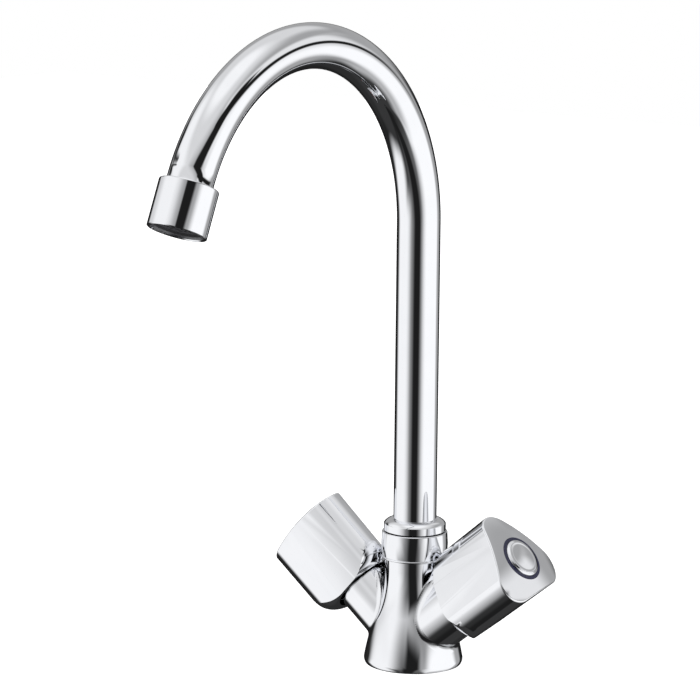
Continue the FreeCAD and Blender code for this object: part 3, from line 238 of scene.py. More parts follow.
def new_material(name):
    """An empty node material with its shader and its Object coordinates."""
    material = bpy.data.materials.new(name)
    material.use_nodes = True
    tree = material.node_tree
    shader = tree.nodes["Principled BSDF"]
    place = tree.nodes.new("ShaderNodeTexCoord").outputs["Object"]
    return material, tree, shader, place


def settle(shader, **numbers):
    """Set a shader's own sockets, named with _ for a space."""
    for name, number in numbers.items():
        shader.inputs[name.replace("_", " ")].default_value = number


def noise(tree, place, scale, detail=3.0):
    """Cloudy noise; scale is in cells per metre."""
    return grow(tree, "ShaderNodeTexNoise", {"Vector": place, "Scale": scale, "Detail": detail})


def tinted(tree, source, dark, light):
    """A pattern as a mix of two colours."""
    return grow(tree, "ShaderNodeMix", {0: source, 6: (*dark, 1), 7: (*light, 1)}, data_type="RGBA")


# %% [markdown]
# ## The floor
#
# A plain pale floor, a little over-lit as on a product photograph, so that it melts into the white
# behind it.  The chrome doesn't see it: in the photograph the tap reflects a dark ground, which is
# one of the studio's panels.

# %% Floor
FLOOR_HALF = 2.0                                   # metres
FLOOR_ROUGHNESS, FLOOR_GLOW = 0.9, 0.8
FLOOR_CLOUDS = 40.0                                # cells per metre
FLOOR_GREYS = ((0.90, 0.90, 0.90), (0.94, 0.94, 0.94))

floor_paint, floor_tree, floor_shader, floor_place = new_material("pale_floor")
settle(floor_shader, Roughness=FLOOR_ROUGHNESS, Emission_Color=(1, 1, 1, 1), Emission_Strength=FLOOR_GLOW)
pale = tinted(floor_tree, noise(floor_tree, floor_place, FLOOR_CLOUDS), *FLOOR_GREYS)
floor_tree.links.new(pale, floor_shader.inputs["Base Color"])

floor_corners = [(x * FLOOR_HALF, y * FLOOR_HALF, 0) for x, y in ((-1, -1), (1, -1), (1, 1), (-1, 1))]
floor_mesh = bpy.data.meshes.new("floor")
floor_mesh.from_pydata(floor_corners, [], [(0, 1, 2, 3)])
floor_mesh.materials.append(floor_paint)
floor = bpy.data.objects.new("floor", floor_mesh)
floor.visible_glossy = False
bpy.context.scene.collection.objects.link(floor)
print("floor:", 2 * FLOOR_HALF, "m square")

# %% [markdown]
# ## Chrome
#
# The real tap is plated with nickel and a very thin chrome over a buffed casting.  A plain mirror
# would look drawn, so three faint things are added: its white is a little cold, a fine cloud varies
# its roughness as wiping does, and a ripple of two thousandths of a millimetre stands for the
# buffing.  Some pieces have a low relief of their own, which their material adds to the ripple.

# %% Chrome
CHROME_SMEAR = 0.05                                # highest roughness of the plate
CHROME_WAVE = 0.002 * MM                           # height of the ripple that buffing leaves
WIPED_CELLS, BUFFED_CELLS = 90.0, 25.0             # per metre
CHROME_TINTS = ((0.87, 0.88, 0.91), (0.92, 0.93, 0.955))


def bumped(tree, shader, height, strength, distance):
    """Raise the surface by a pattern."""
    bump = grow(tree, "ShaderNodeBump", {"Height": height, "Strength": strength, "Distance": distance})
    tree.links.new(bump, shader.inputs["Normal"])


def chrome_plate(name, relief=None):
    """Mirror-polished plate; relief is a function that adds a height in metres."""
    material, tree, shader, place = new_material(name)
    settle(shader, Metallic=1.0)
    cloud = noise(tree, place, WIPED_CELLS)
    tree.links.new(tinted(tree, cloud, *CHROME_TINTS), shader.inputs["Base Color"])
    smear = grow(tree, "ShaderNodeMapRange", (cloud, 0.0, 1.0, 0.0, CHROME_SMEAR))
    tree.links.new(smear, shader.inputs["Roughness"])
    height = math_node(tree, "MULTIPLY", noise(tree, place, BUFFED_CELLS, 1.0), CHROME_WAVE)
    if relief:
        height = math_node(tree, "ADD", height, relief(tree, place))
    bumped(tree, shader, height, 1.0, 1.0)
    return material


# %% [markdown]
# ## The other finishes
#
# The inner pieces are never seen on a whole tap, but each has its own finish all the same, because
# the part can be taken apart: turned brass and steel with tool marks, and rubber, nylon, ceramic,
# plastic and enamel with the grain of their moulds.  Two short functions cover them all.

# %% Turned metal
TOOL_MARK_HEIGHT = 0.02 * MM
TOOL_MARK_WANDER, TOOL_MARK_STRENGTH = 1.5, 0.3
WAVE_LENGTH = 0.3                                  # of a wave texture at scale 1, in metres
UNEVEN_CELLS = 300.0                               # per metre


def machined(name, dark, light, rough, pitch):
    """Turned metal with fine tool marks, pitch metres apart."""
    material, tree, shader, place = new_material(name)
    settle(shader, Metallic=1.0, Roughness=rough)
    waves = {"Vector": place, "Scale": WAVE_LENGTH / pitch, "Distortion": TOOL_MARK_WANDER}
    marks = grow(tree, "ShaderNodeTexWave", waves, bands_direction="Z").node.outputs["Fac"]
    shine = math_node(tree, "MULTIPLY", marks, noise(tree, place, UNEVEN_CELLS))
    tree.links.new(tinted(tree, shine, dark, light), shader.inputs["Base Color"])
    bumped(tree, shader, marks, TOOL_MARK_STRENGTH, TOOL_MARK_HEIGHT)
    return material


# %% Moulded pieces
GRAIN_STRENGTH = 0.5


def moulded(name, dark, light, rough, grain, height):
    """Rubber, plastic, ceramic or enamel; grain is in cells per metre, height in metres."""
    material, tree, shader, place = new_material(name)
    settle(shader, Roughness=rough)
    speck = noise(tree, place, grain)
    tree.links.new(tinted(tree, speck, dark, light), shader.inputs["Base Color"])
    bumped(tree, shader, speck, GRAIN_STRENGTH, height)
    return material


# %% [markdown]
# Every node of the measured model gets the finish that its name tells.  Its mesh stays as it is.

# %% Give each node its finish
FINISHES = {
    "chrome_plate": chrome_plate("chrome_plate"),
    # darkest, lightest, roughness, distance of the tool marks
    "brass": machined("brass", (0.50, 0.36, 0.14), (0.72, 0.55, 0.26), 0.28, 0.25 * MM),
    "steel": machined("steel", (0.42, 0.42, 0.42), (0.60, 0.60, 0.60), 0.3, 0.3 * MM),
    # darkest, lightest, roughness, grain, height of the grain
    "rubber": moulded("rubber", (0.012, 0.012, 0.013), (0.03, 0.03, 0.032), 0.6, 2500.0, 0.02 * MM),
    "nylon": moulded("nylon", (0.72, 0.70, 0.64), (0.80, 0.78, 0.72), 0.45, 1200.0, 0.01 * MM),
    "ceramic": moulded("ceramic", (0.80, 0.79, 0.76), (0.88, 0.87, 0.85), 0.2, 6000.0, 0.002 * MM),
    "aerator_plastic": moulded("aerator_plastic", (0.02, 0.02, 0.022), (0.05, 0.05, 0.055), 0.5,
                               3000.0, 0.01 * MM),
    "index_blue": moulded("index_blue", (0.012, 0.013, 0.05), (0.02, 0.021, 0.075), 0.25,
                          900.0, 0.004 * MM),
    "index_red": moulded("index_red", (0.30, 0.012, 0.015), (0.40, 0.02, 0.02), 0.25,
                         900.0, 0.004 * MM),
}

# Words in a node's name that tell its finish; the first that fits counts
FINISH_OF = [
    ("hot_index", "index_red"), ("cold_index", "index_blue"), ("oring", "rubber"), ("gasket", "rubber"),
    ("seal", "rubber"), ("aerator_washer", "rubber"), ("slip_washer", "nylon"), ("disc", "ceramic"),
    ("clip", "steel"), ("screw", "steel"), ("valve_body", "brass"), ("spindle", "brass"),
    ("spigot", "brass"), ("aerator", "aerator_plastic"), ("", "chrome_plate")]


def finish_of(name):
    """The finish of a node, from its name."""
    return next(finish for word, finish in FINISH_OF if word in name)


for name, node in nodes.items():
    node.data.materials.clear()
    node.data.materials.append(FINISHES[finish_of(name)])
print("finishes:", {finish: sum(finish_of(name) == finish for name in nodes) for finish in FINISHES})

# %% [markdown]
# ## Skins: surfaces described by rules
#
# A mirror shows every wobble of a mesh's shading.  Shading normals that are averaged from triangles
# are a few degrees off, which would bend each reflected edge.  So each polished piece gets its
# normals from the rule of its surface: a profile turned about an axis, a bent tube, a rounding left
# by a rolling ball.  Here such a rule is called a skin: a function that takes many points and gives
# their distance from the surface and the way that points straight out of it.
#
# A profile is a list of corners, each (radius, height), or (radius, height, radius of the arc to
# it).  A positive arc has its centre to the left of the way there.

# %% Profiles of lines and arcs
FAR, TINY = 1000.0, 1e-9                           # millimetres
END_SLACK = 0.01                                   # a run counts this share of its length past its ends


def arc_centre(start, end, radius):
    """Centre of the arc from start to end; a positive radius has it to the left of the way there."""
    chord = end - start
    half = np.hypot(*chord) / 2
    left = np.array((-chord[1], chord[0])) / (2 * half)
    return (start + end) / 2 + left * math.copysign(math.sqrt(max(radius ** 2 - half ** 2, 0.0)), radius)


def runs(profile):
    """The lines and arcs of a profile, each as its start, its end and its radius, if it has one."""
    for before, corner in zip(profile, profile[1:]):
        start, end = np.array(before[:2], float), np.array(corner[:2], float)
        yield start, end, corner[2] if len(corner) > 2 else None


def profile_field(profile, spots):
    """Distance from a profile and the way out of it, which is on its right, for (radius, height)."""
    best = np.full(len(spots), FAR)
    out = np.zeros((len(spots), 2))
    for start, end, radius in runs(profile):
        chord = end - start
        length = np.hypot(*chord)
        if radius is None:
            right = np.array((chord[1], -chord[0])) / length
            away = (spots - start) @ right
            normal = np.broadcast_to(right, spots.shape)
            share = (spots - start) @ chord / length ** 2
            on = (share > -END_SLACK) & (share < 1 + END_SLACK)
        else:
            centre = arc_centre(start, end, radius)
            side = math.copysign(1.0, radius)
            spoke = spots - centre
            reach = np.maximum(np.hypot(*spoke.T), TINY)
            away = (reach - abs(radius)) * side
            normal = spoke / reach[:, None] * side
            foot = centre + spoke / reach[:, None] * abs(radius) - start
            turned_left = chord[0] * foot[:, 1] - chord[1] * foot[:, 0]
            on = turned_left * side < END_SLACK * length
        closer = on & (np.abs(away) < np.abs(best))
        best[closer] = away[closer]
        out[closer] = normal[closer]
    return best, out


# %% Turned and rolled skins
UP = np.array((0.0, 0.0, 1.0))
CENTRE = np.zeros(3)
ROLLING_STEPS = 6                                  # by then the ball touches both skins
NEARLY_PARALLEL = 0.999                            # cosine


def turned(profile, origin=CENTRE, axis=UP):
    """The skin of a profile turned about an axis."""
    def skin(points, _=None):
        offset = points - origin
        height = offset @ axis
        across = offset - height[:, None] * axis
        radius = np.linalg.norm(across, axis=1)
        outward = across / np.maximum(radius, TINY)[:, None]
        away, normal = profile_field(profile, np.column_stack((radius, height)))
        return away, normal[:, :1] * outward + normal[:, 1:] * axis
    return skin


def rolled(first, second, radius, hollow):
    """The rounding that a ball leaves as it rolls along two skins, in a corner or over an edge."""
    side = 1.0 if hollow else -1.0

    def skin(points, normals):
        centre = points + side * radius * normals
        for _ in range(ROLLING_STEPS):
            (gap_1, way_1), (gap_2, way_2) = first(centre, normals), second(centre, normals)
            miss_1, miss_2 = side * radius - gap_1, side * radius - gap_2
            lean = np.clip((way_1 * way_2).sum(1), -NEARLY_PARALLEL, NEARLY_PARALLEL)
            step_1 = (miss_1 - lean * miss_2) / (1 - lean ** 2)
            step_2 = (miss_2 - lean * miss_1) / (1 - lean ** 2)
            centre = centre + step_1[:, None] * way_1 + step_2[:, None] * way_2
        way = (centre - points) * side
        reach = np.maximum(np.linalg.norm(way, axis=1), TINY)
        return reach - radius, way / reach[:, None]
    return skin


rod = turned([(10.0, 0.0), (10.0, 20.0)])
away, _ = rod(np.array([[13.0, 0.0, 5.0]]))
print("13 mm from the axis of a rod of radius 10 mm, its skin is", away[0], "mm away")

# %% [markdown]
# A CAD mesh comes as loose triangles.  A copy of it is merged, and each of its face corners takes
# the normal of the skin that it lies on.  A corner counts as lying on a skin if it is within a few
# hundredths of a millimetre and its triangle faces roughly the same way; any other corner, inside a
# bore or under the foot, keeps the usual smooth shading between sharp edges.

# %% Give a mesh exact normals
SKIN_NEAR = 0.04                                   # millimetres
SKIN_LEAN = math.cos(math.radians(32))             # a triangle may lean this far from its skin
SHARP = math.radians(30)


def exact_normals(mesh, skins):
    """Set the normals of a mesh's face corners from the nearest skin that faces their way."""
    mesh.polygons.foreach_set("use_smooth", [True] * len(mesh.polygons))
    mesh.set_sharp_from_angle(angle=SHARP)
    corners = np.empty(len(mesh.loops), np.int64)
    mesh.loops.foreach_get("vertex_index", corners)
    places = np.empty(len(mesh.vertices) * 3)
    mesh.vertices.foreach_get("co", places)
    places = places.reshape(-1, 3)[corners] / MM
    faces = np.repeat(np.array([face.normal for face in mesh.polygons]),
                      [face.loop_total for face in mesh.polygons], axis=0)
    best = np.full(len(corners), SKIN_NEAR)
    normals = np.zeros((len(corners), 3))
    for skin in skins:
        away, way = skin(places, faces)
        away = np.abs(away)
        closer = (away < best) & ((way * faces).sum(1) > SKIN_LEAN)
        best[closer] = away[closer]
        normals[closer] = way[closer]
    mesh.normals_split_custom_set(normals.tolist())
    return (best < SKIN_NEAR).mean()


# %% Put a piece on its body
MERGE_WITHIN, SHORTEST_EDGE = 0.001 * MM, 0.0005 * MM


def add_piece(name, mesh, finish, body, *replaced, material=None):
    """Put a finished mesh on its body, in the place of CAD nodes."""
    mesh.name = name
    mesh.materials.clear()
    mesh.materials.append(material or FINISHES[finish])
    piece = bpy.data.objects.new(name, mesh)
    bpy.context.scene.collection.objects.link(piece)
    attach(piece, body)
    if replaced:
        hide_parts(*replaced)
    return piece


def merged_copy(name):
    """A node's triangles as one closed mesh."""
    shape = bmesh.new()
    shape.from_mesh(nodes[name].data)
    bmesh.ops.remove_doubles(shape, verts=shape.verts, dist=MERGE_WITHIN)
    bmesh.ops.dissolve_degenerate(shape, edges=shape.edges, dist=SHORTEST_EDGE)
    mesh = bpy.data.meshes.new(name + "_copy")
    shape.to_mesh(mesh)
    shape.free()
    return mesh


def polish(name, skins, body):
    """Replace a chrome node by its merged copy with exact normals."""
    mesh = merged_copy(name)
    share = exact_normals(mesh, skins)
    print(f"{name}: {len(mesh.polygons)} triangles, {share:.0%} of their corners on a skin")
    return add_piece(name + "_polished", mesh, "chrome_plate", body, name)


# %% [markdown]
# ## The casting
#
# Foot, flare, column and both arms are one casting, ground and buffed before it is plated, so its
# forms run into each other with a soft rounding.  Its shape is the CAD's; only its normals are made
# here.  Its outside is three turned skins, the column and the two slightly widening arms, and the
# two roundings that a 4 mm ball leaves between them.

# %% Casting
FOOT_RIM, FOOT_RADIUS, FOOT_WIDEST, FOOT_EDGE = 22.4, 23.0, 2.4, 4.5
FLARE_MIDDLE, FLARE_BULGE = (17.25, 24.25), 134.0
COLUMN_RADIUS, FLARE_END, SHOULDER = 13.7, 45.0, 50.0
ARM_HEIGHT, ARM_RISE, ARM_START, ARM_LENGTH = 10.1, math.radians(39.2), 5.0, 37.5
ARM_ROOT, ARM_END, ARM_BLEND = 13.5, 13.8, 4.0
narrowing = FLARE_MIDDLE[0] - COLUMN_RADIUS
flare_hollow = (narrowing ** 2 + (FLARE_END - FLARE_MIDDLE[1]) ** 2) / (2 * narrowing)
column_skin = turned([
    (FOOT_RIM, 0.0), (FOOT_RADIUS, FOOT_WIDEST, FOOT_EDGE), (*FLARE_MIDDLE, FLARE_BULGE),
    (COLUMN_RADIUS, FLARE_END, -flare_hollow), (COLUMN_RADIUS, SHOULDER)])
arm_origin = np.array((0.0, 0.0, ARM_HEIGHT))
arm_axes = {"cold": np.array((math.cos(ARM_RISE), 0.0, math.sin(ARM_RISE))),
            "hot": np.array((-math.cos(ARM_RISE), 0.0, math.sin(ARM_RISE)))}
casting_skins = [column_skin]
for axis in arm_axes.values():
    arm_skin = turned([(ARM_ROOT, ARM_START), (ARM_END, ARM_LENGTH)], arm_origin, axis)
    casting_skins += [arm_skin, rolled(column_skin, arm_skin, ARM_BLEND, hollow=True)]
polish("faucet_body", casting_skins, "faucet_base")

# %% [markdown]
# ## Handles
#
# Each handle is a hollow zinc casting: three lobes with flat sides between them, a domed end, and a
# skirt that is rounded in towards the arm.  Seen along its axis the outside is a triangle with round
# corners, so its distance rule is the distance from the triangle of the lobes' centres.  The sides
# lean out by less than a degree, which let the casting leave its mould.  Buffing takes a little more
# off near the lobes than in the middle of a flat, so the flats' normals are crowned by some degrees.

# %% The lobed skin of a handle
LOBES, LOBE_CIRCLE, LOBE_RADIUS = 3, 14.75, 9.2
TAPER, SKIRT_LOW = math.radians(0.75), 35.9
CROWN = math.radians(12)
LOBE_SPAN = math.radians(60)                       # a lobe turns this far either way from its middle
LOBE_COSINE = 0.4999                               # its cosine, a hair less so that no point is missed
lobe_turns = {"cold": math.radians(188.0), "hot": math.radians(97.9)}
axis_sides = {"cold": 1.0, "hot": -1.0}


def lobed(side, crown=0.0):
    """The skin of a handle's three lobes and flat sides, whose normals may be crowned."""
    axis = arm_axes[side]
    lean = axis_sides[side] * (math.pi / 2 - ARM_RISE)
    east_way = np.array((math.cos(lean), 0.0, -math.sin(lean)))
    north_way = np.array((0.0, 1.0, 0.0))
    turns = [lobe_turns[side] + math.radians(360 / LOBES * step) for step in range(LOBES)]
    centres = [LOBE_CIRCLE * np.array((math.cos(turn), math.sin(turn))) for turn in turns]

    def skin(points, _=None):
        offset = points - arm_origin
        station = offset @ axis
        flat = np.column_stack((offset @ east_way, offset @ north_way))
        best = np.full(len(points), -FAR)
        normal = np.zeros_like(flat)
        for step in range(LOBES):
            start, end = centres[step], centres[(step + 1) % LOBES]
            chord = end - start
            out = np.array((chord[1], -chord[0])) / np.hypot(*chord)
            away = (flat - start) @ out
            share = (flat - start) @ chord / (chord @ chord)
            beside = (share >= 0) & (share <= 1) & (away > best)
            best[beside] = away[beside]
            lean_out = crown * (2 * share[beside, None] - 1)
            normal[beside] = np.cos(lean_out) * out + np.sin(lean_out) * chord / np.hypot(*chord)
            spoke = flat - start
            reach = np.maximum(np.hypot(*spoke.T), TINY)
            middle = start / LOBE_CIRCLE
            corner = (spoke @ middle > reach * LOBE_COSINE)
            best[corner] = reach[corner]
            around = np.arctan2(middle[0] * spoke[:, 1] - middle[1] * spoke[:, 0], spoke @ middle)
            around = around * (1 - crown / LOBE_SPAN) + math.atan2(middle[1], middle[0])
            normal[corner] = np.column_stack((np.cos(around), np.sin(around)))[corner]
        radius = LOBE_RADIUS + (station - SKIRT_LOW) * math.tan(TAPER)
        away = (best - radius) * math.cos(TAPER)
        way = normal[:, :1] * east_way + normal[:, 1:] * north_way
        return away, way * math.cos(TAPER) - axis * math.sin(TAPER)
    return skin


# %% Handles
SKIRT_ROUND, SKIRT_EDGE = 10.0, 17.4
DOME_TOP, DOME_RADIUS, RIM_ROUND = 77.3, 84.0, 0.9
DOME_REACH = 30.0                                  # the dome's skin runs on past the handle's sides


def handle_skins(side):
    """All skins of a handle's outside."""
    axis = arm_axes[side]
    drop = DOME_RADIUS - math.sqrt(DOME_RADIUS ** 2 - DOME_REACH ** 2)
    dome = turned([(DOME_REACH, DOME_TOP - drop), (0.0, DOME_TOP, DOME_RADIUS)], arm_origin, axis)
    reach = LOBE_CIRCLE + LOBE_RADIUS
    skirt_centre = SKIRT_LOW + math.sqrt(SKIRT_ROUND ** 2 - (SKIRT_EDGE - reach + SKIRT_ROUND) ** 2)
    skirt = turned([(SKIRT_EDGE, SKIRT_LOW), (reach, skirt_centre, SKIRT_ROUND)], arm_origin, axis)
    return [lobed(side, CROWN), dome, skirt, rolled(lobed(side), dome, RIM_ROUND, hollow=False)]


for side in arm_axes:
    polish(f"{side}_handle", handle_skins(side), f"{side}_control")

# %% [markdown]
# ## Turned trim
#
# The nut, the trim ring at the foot of the spout, the nozzle and the caps came off a lathe.  They
# are made the same way here: a profile of lines and arcs is turned in fine steps, and each row of
# points keeps the exact normal of the line or arc that it belongs to, so edges stay crisp.

# %% A lathe
LATHE_STEPS = 144
ARC_STEP = math.radians(7.5)
SAME_POINT = 6                                     # decimals of a millimetre that have to agree


def lathe_rows(profile):
    """Pairs of neighbouring profile points, each as (place, normal)."""
    rows = []
    for start, end, radius in runs(profile):
        if radius is None:
            chord = end - start
            right = np.array((chord[1], -chord[0])) / np.hypot(*chord)
            rows.append([(start, right), (end, right)])
            continue
        centre = arc_centre(start, end, radius)
        first, last = start - centre, end - centre
        sweep = math.atan2(first[0] * last[1] - first[1] * last[0], first @ last)
        count = max(2, math.ceil(abs(sweep) / ARC_STEP))
        run = []
        for step in range(count + 1):
            angle = sweep * step / count
            spoke = np.array((first[0] * math.cos(angle) - first[1] * math.sin(angle),
                              first[0] * math.sin(angle) + first[1] * math.cos(angle)))
            run.append((centre + spoke, spoke / radius))
        rows += [[run[step], run[step + 1]] for step in range(count)]
    return rows


def lathe(name, profile, origin=CENTRE, axis=UP):
    """A closed profile turned about an axis (any but Y), with the normals of its lines and arcs."""
    aside = np.cross(axis, (0.0, 1.0, 0.0))
    aside = aside / np.linalg.norm(aside)
    beside = np.cross(axis, aside)
    turns = [2 * math.pi * step / LATHE_STEPS for step in range(LATHE_STEPS)]
    spokes = [math.cos(turn) * aside + math.sin(turn) * beside for turn in turns]
    vertices, faces, normals, at = [], [], [], {}

    def vertex(spot, step):
        """The number of a point of the turned surface; points on the axis are shared."""
        radius, height = (round(float(number), SAME_POINT) for number in spot)
        key = (radius, height, step if radius > 0 else 0)
        if key not in at:
            at[key] = len(vertices)
            vertices.append((origin + radius * spokes[step] + height * axis) * MM)
        return at[key]

    for (low, low_way), (high, high_way) in lathe_rows(profile):
        for step in range(LATHE_STEPS):
            after = (step + 1) % LATHE_STEPS
            ring = [(low, low_way, step), (low, low_way, after),
                    (high, high_way, after), (high, high_way, step)]
            corners, ways = [], []
            for spot, way_out, turn_step in ring:
                number = vertex(spot, turn_step)
                if number not in corners:
                    corners.append(number)
                    ways.append(way_out[0] * spokes[turn_step] + way_out[1] * axis)
            if len(corners) > 2:
                faces.append(corners)
                normals += ways
    mesh = bpy.data.meshes.new(name)
    mesh.from_pydata(vertices, [], faces)
    mesh.polygons.foreach_set("use_smooth", [True] * len(mesh.polygons))
    mesh.normals_split_custom_set([tuple(way) for way in normals])
    print(f"{name}: {len(faces)} faces")
    return mesh


# %% [markdown]
# The nut is barrel-shaped, with a thin bead at its lower edge.  It holds the spout down and stays
# still when the spout turns, so it rides on the base.

# %% Nut
TUBE_RADIUS, TUBE_WALL = 10.0, 1.2
NUT_LIFT, NUT_HEIGHT, NUT_BORE = 0.1, 12.5, 12.45
NUT_BEAD_RADIUS, NUT_BEAD_HEIGHT, NUT_BEAD_ROUND = 15.05, 0.9, 0.54
NUT_GROOVE_RADIUS, NUT_GROOVE_HEIGHT = 14.65, 0.35
NUT_SIDE_RADIUS, NUT_BARREL_ROUND, NUT_TOP_ROUND = 15.15, 50.0, 0.5
NUT_LIP_THICKNESS, NUT_LIP_GAP = 2.4, 0.5
nut_low = SHOULDER + NUT_LIFT
nut_top = nut_low + NUT_HEIGHT
bead_top = nut_low + NUT_BEAD_HEIGHT
side_low = bead_top + NUT_GROOVE_HEIGHT
lip_low, lip_bore = nut_top - NUT_LIP_THICKNESS, TUBE_RADIUS + NUT_LIP_GAP
nut = lathe("swivel_nut_turned", [
    (NUT_BORE, nut_low), (NUT_BEAD_RADIUS, nut_low), (NUT_BEAD_RADIUS, bead_top, NUT_BEAD_ROUND),
    (NUT_GROOVE_RADIUS, bead_top), (NUT_GROOVE_RADIUS, side_low), (NUT_SIDE_RADIUS, side_low),
    (NUT_SIDE_RADIUS, nut_top - NUT_TOP_ROUND, NUT_BARREL_ROUND),
    (NUT_SIDE_RADIUS - NUT_TOP_ROUND, nut_top, NUT_TOP_ROUND),
    (lip_bore, nut_top), (lip_bore, lip_low), (NUT_BORE, lip_low), (NUT_BORE, nut_low)])
add_piece("swivel_nut_turned", nut, "chrome_plate", "faucet_base", "swivel_nut")

# %% Trim ring at the foot of the spout
COLLAR_GAP, COLLAR_RADIUS, COLLAR_SIDE = 0.3, 14.35, 3.4
COLLAR_HEIGHT, COLLAR_BEVEL, COLLAR_LEDGE = 5.3, 0.3, 0.35
collar_low = nut_top + COLLAR_GAP
collar_top = collar_low + COLLAR_HEIGHT
ledge_radius = TUBE_RADIUS + COLLAR_LEDGE
collar = lathe("spout_collar_turned", [
    (TUBE_RADIUS, collar_low), (COLLAR_RADIUS - COLLAR_BEVEL, collar_low),
    (COLLAR_RADIUS, collar_low + COLLAR_BEVEL), (COLLAR_RADIUS, collar_low + COLLAR_SIDE),
    (ledge_radius, collar_top, COLLAR_RADIUS - ledge_radius),
    (TUBE_RADIUS, collar_top), (TUBE_RADIUS, collar_low)])
add_piece("spout_collar_turned", collar, "chrome_plate", "spout", "spout_collar")

# %% [markdown]
# The nozzle sits square on the end of the bent spout.  Its place and its axis follow from the bend,
# so they are worked out from the same sizes that the tube is made from further down.

# %% Nozzle
BEND_START, BEND_RADIUS, BEND_SWEEP, STUB = 206.7, 85.5, math.radians(156.3), 1.0
NOZZLE_RADIUS, NOZZLE_LENGTH, NOZZLE_EDGE, NOZZLE_BEVEL = 12.85, 20.8, 0.7, 0.3
NOZZLE_WALL, NOZZLE_LIP = 1.35, 0.5
NOZZLE_SOCKET, NOZZLE_STEP, NOZZLE_STEP_RADIUS = 4.0, 2.0, 8.6
nozzle_axis = np.array((0.0, -math.sin(BEND_SWEEP), math.cos(BEND_SWEEP)))
bend_end = np.array((0.0, -BEND_RADIUS * (1 - math.cos(BEND_SWEEP)),
                     BEND_START + BEND_RADIUS * math.sin(BEND_SWEEP)))
nozzle_place = bend_end + STUB * nozzle_axis
mouth, step_end = NOZZLE_RADIUS - NOZZLE_WALL, NOZZLE_SOCKET + NOZZLE_STEP
nozzle = lathe("nozzle_turned", [
    (TUBE_RADIUS, 0.0), (NOZZLE_RADIUS - NOZZLE_EDGE, 0.0), (NOZZLE_RADIUS, NOZZLE_EDGE, NOZZLE_EDGE),
    (NOZZLE_RADIUS, NOZZLE_LENGTH - NOZZLE_BEVEL), (NOZZLE_RADIUS - NOZZLE_BEVEL, NOZZLE_LENGTH),
    (mouth + NOZZLE_LIP, NOZZLE_LENGTH), (mouth, NOZZLE_LENGTH - NOZZLE_LIP), (mouth, step_end),
    (NOZZLE_STEP_RADIUS, step_end), (NOZZLE_STEP_RADIUS, NOZZLE_SOCKET),
    (TUBE_RADIUS, NOZZLE_SOCKET), (TUBE_RADIUS, 0.0)], nozzle_place, nozzle_axis)
add_piece("nozzle_turned", nozzle, "chrome_plate", "spout", "nozzle_housing")

# %% [markdown]
# Each cap hides its handle's screw.  It has a low bead round it, a third of a millimetre high.  That
# is too fine for the turned rows, so the chrome's own bump makes it, from the distance of each point
# from the handle's axis.

# %% The bead round a cap
CAP_BEAD = (7.7, 0.8, 0.33)                        # radius, half width, height


def vector_node(tree, operation, *inputs):
    """One step of vector arithmetic."""
    return grow(tree, "ShaderNodeVectorMath", inputs, operation=operation)


def about_axis(tree, place, origin, axis):
    """How far each point lies along an axis and from it, in metres."""
    offset = vector_node(tree, "SUBTRACT", place, tuple(origin * MM))
    along = vector_node(tree, "DOT_PRODUCT", offset, tuple(axis))
    whole = vector_node(tree, "DOT_PRODUCT", offset, offset)
    across = math_node(tree, "SUBTRACT", whole, math_node(tree, "MULTIPLY", along, along))
    return along, math_node(tree, "SQRT", math_node(tree, "MAXIMUM", across, 0.0))


def beaded(side):
    """The bead round a cap, as a bell-shaped height over the distance from its axis."""
    radius, half_width, bead_height = (size * MM for size in CAP_BEAD)

    def relief(tree, place):
        _, across = about_axis(tree, place, arm_origin, arm_axes[side])
        apart = math_node(tree, "DIVIDE", math_node(tree, "SUBTRACT", across, radius), half_width)
        squared = math_node(tree, "MULTIPLY", apart, apart)
        bell = math_node(tree, "EXPONENT", math_node(tree, "MULTIPLY", squared, -1.0))
        return math_node(tree, "MULTIPLY", bell, bead_height)
    return relief


# %% Caps
POCKET_RADIUS, POCKET_DEPTH, INDEX_PROUD = 10.9, 3.1, 0.15
CAP_RADIUS, CAP_EDGE, CAP_RISE, CAP_ROUND = 9.2, 1.0, 0.9, 0.8
CAP_STEM_RADIUS, CAP_STEM_LENGTH = 4.2, 2.8
pocket_floor = DOME_TOP - POCKET_DEPTH
cap_shoulder = DOME_TOP - POCKET_RADIUS ** 2 / (2 * DOME_RADIUS) + INDEX_PROUD + CAP_EDGE
cap_flat = CAP_RADIUS - CAP_ROUND
cap_dome = (cap_flat ** 2 + CAP_RISE ** 2) / (2 * CAP_RISE)
for side, axis in arm_axes.items():
    cap = lathe(f"{side}_cap_turned", [
        (0.0, pocket_floor - CAP_STEM_LENGTH), (CAP_STEM_RADIUS, pocket_floor - CAP_STEM_LENGTH),
        (CAP_STEM_RADIUS, pocket_floor), (CAP_RADIUS, pocket_floor),
        (CAP_RADIUS, cap_shoulder - CAP_ROUND), (cap_flat, cap_shoulder, CAP_ROUND),
        (0.0, cap_shoulder + CAP_RISE, cap_dome)], arm_origin, axis)
    add_piece(f"{side}_cap_turned", cap, "chrome_plate", f"{side}_control", f"{side}_cap",
              material=chrome_plate(f"{side}_cap_chrome", beaded(side)))

# %% [markdown]
# ## The spout
#
# The spout is one length of tube: straight, bent over, then straight again for the nozzle.  That is
# a rule, so Geometry Nodes make it.  A line of points is laid out by its length along the tube, each
# point is moved to its place on the bend, and a circle is swept along it.

# %% A geometry tree for a bent tube
PATH_POINTS, TUBE_STEPS = 161, 72


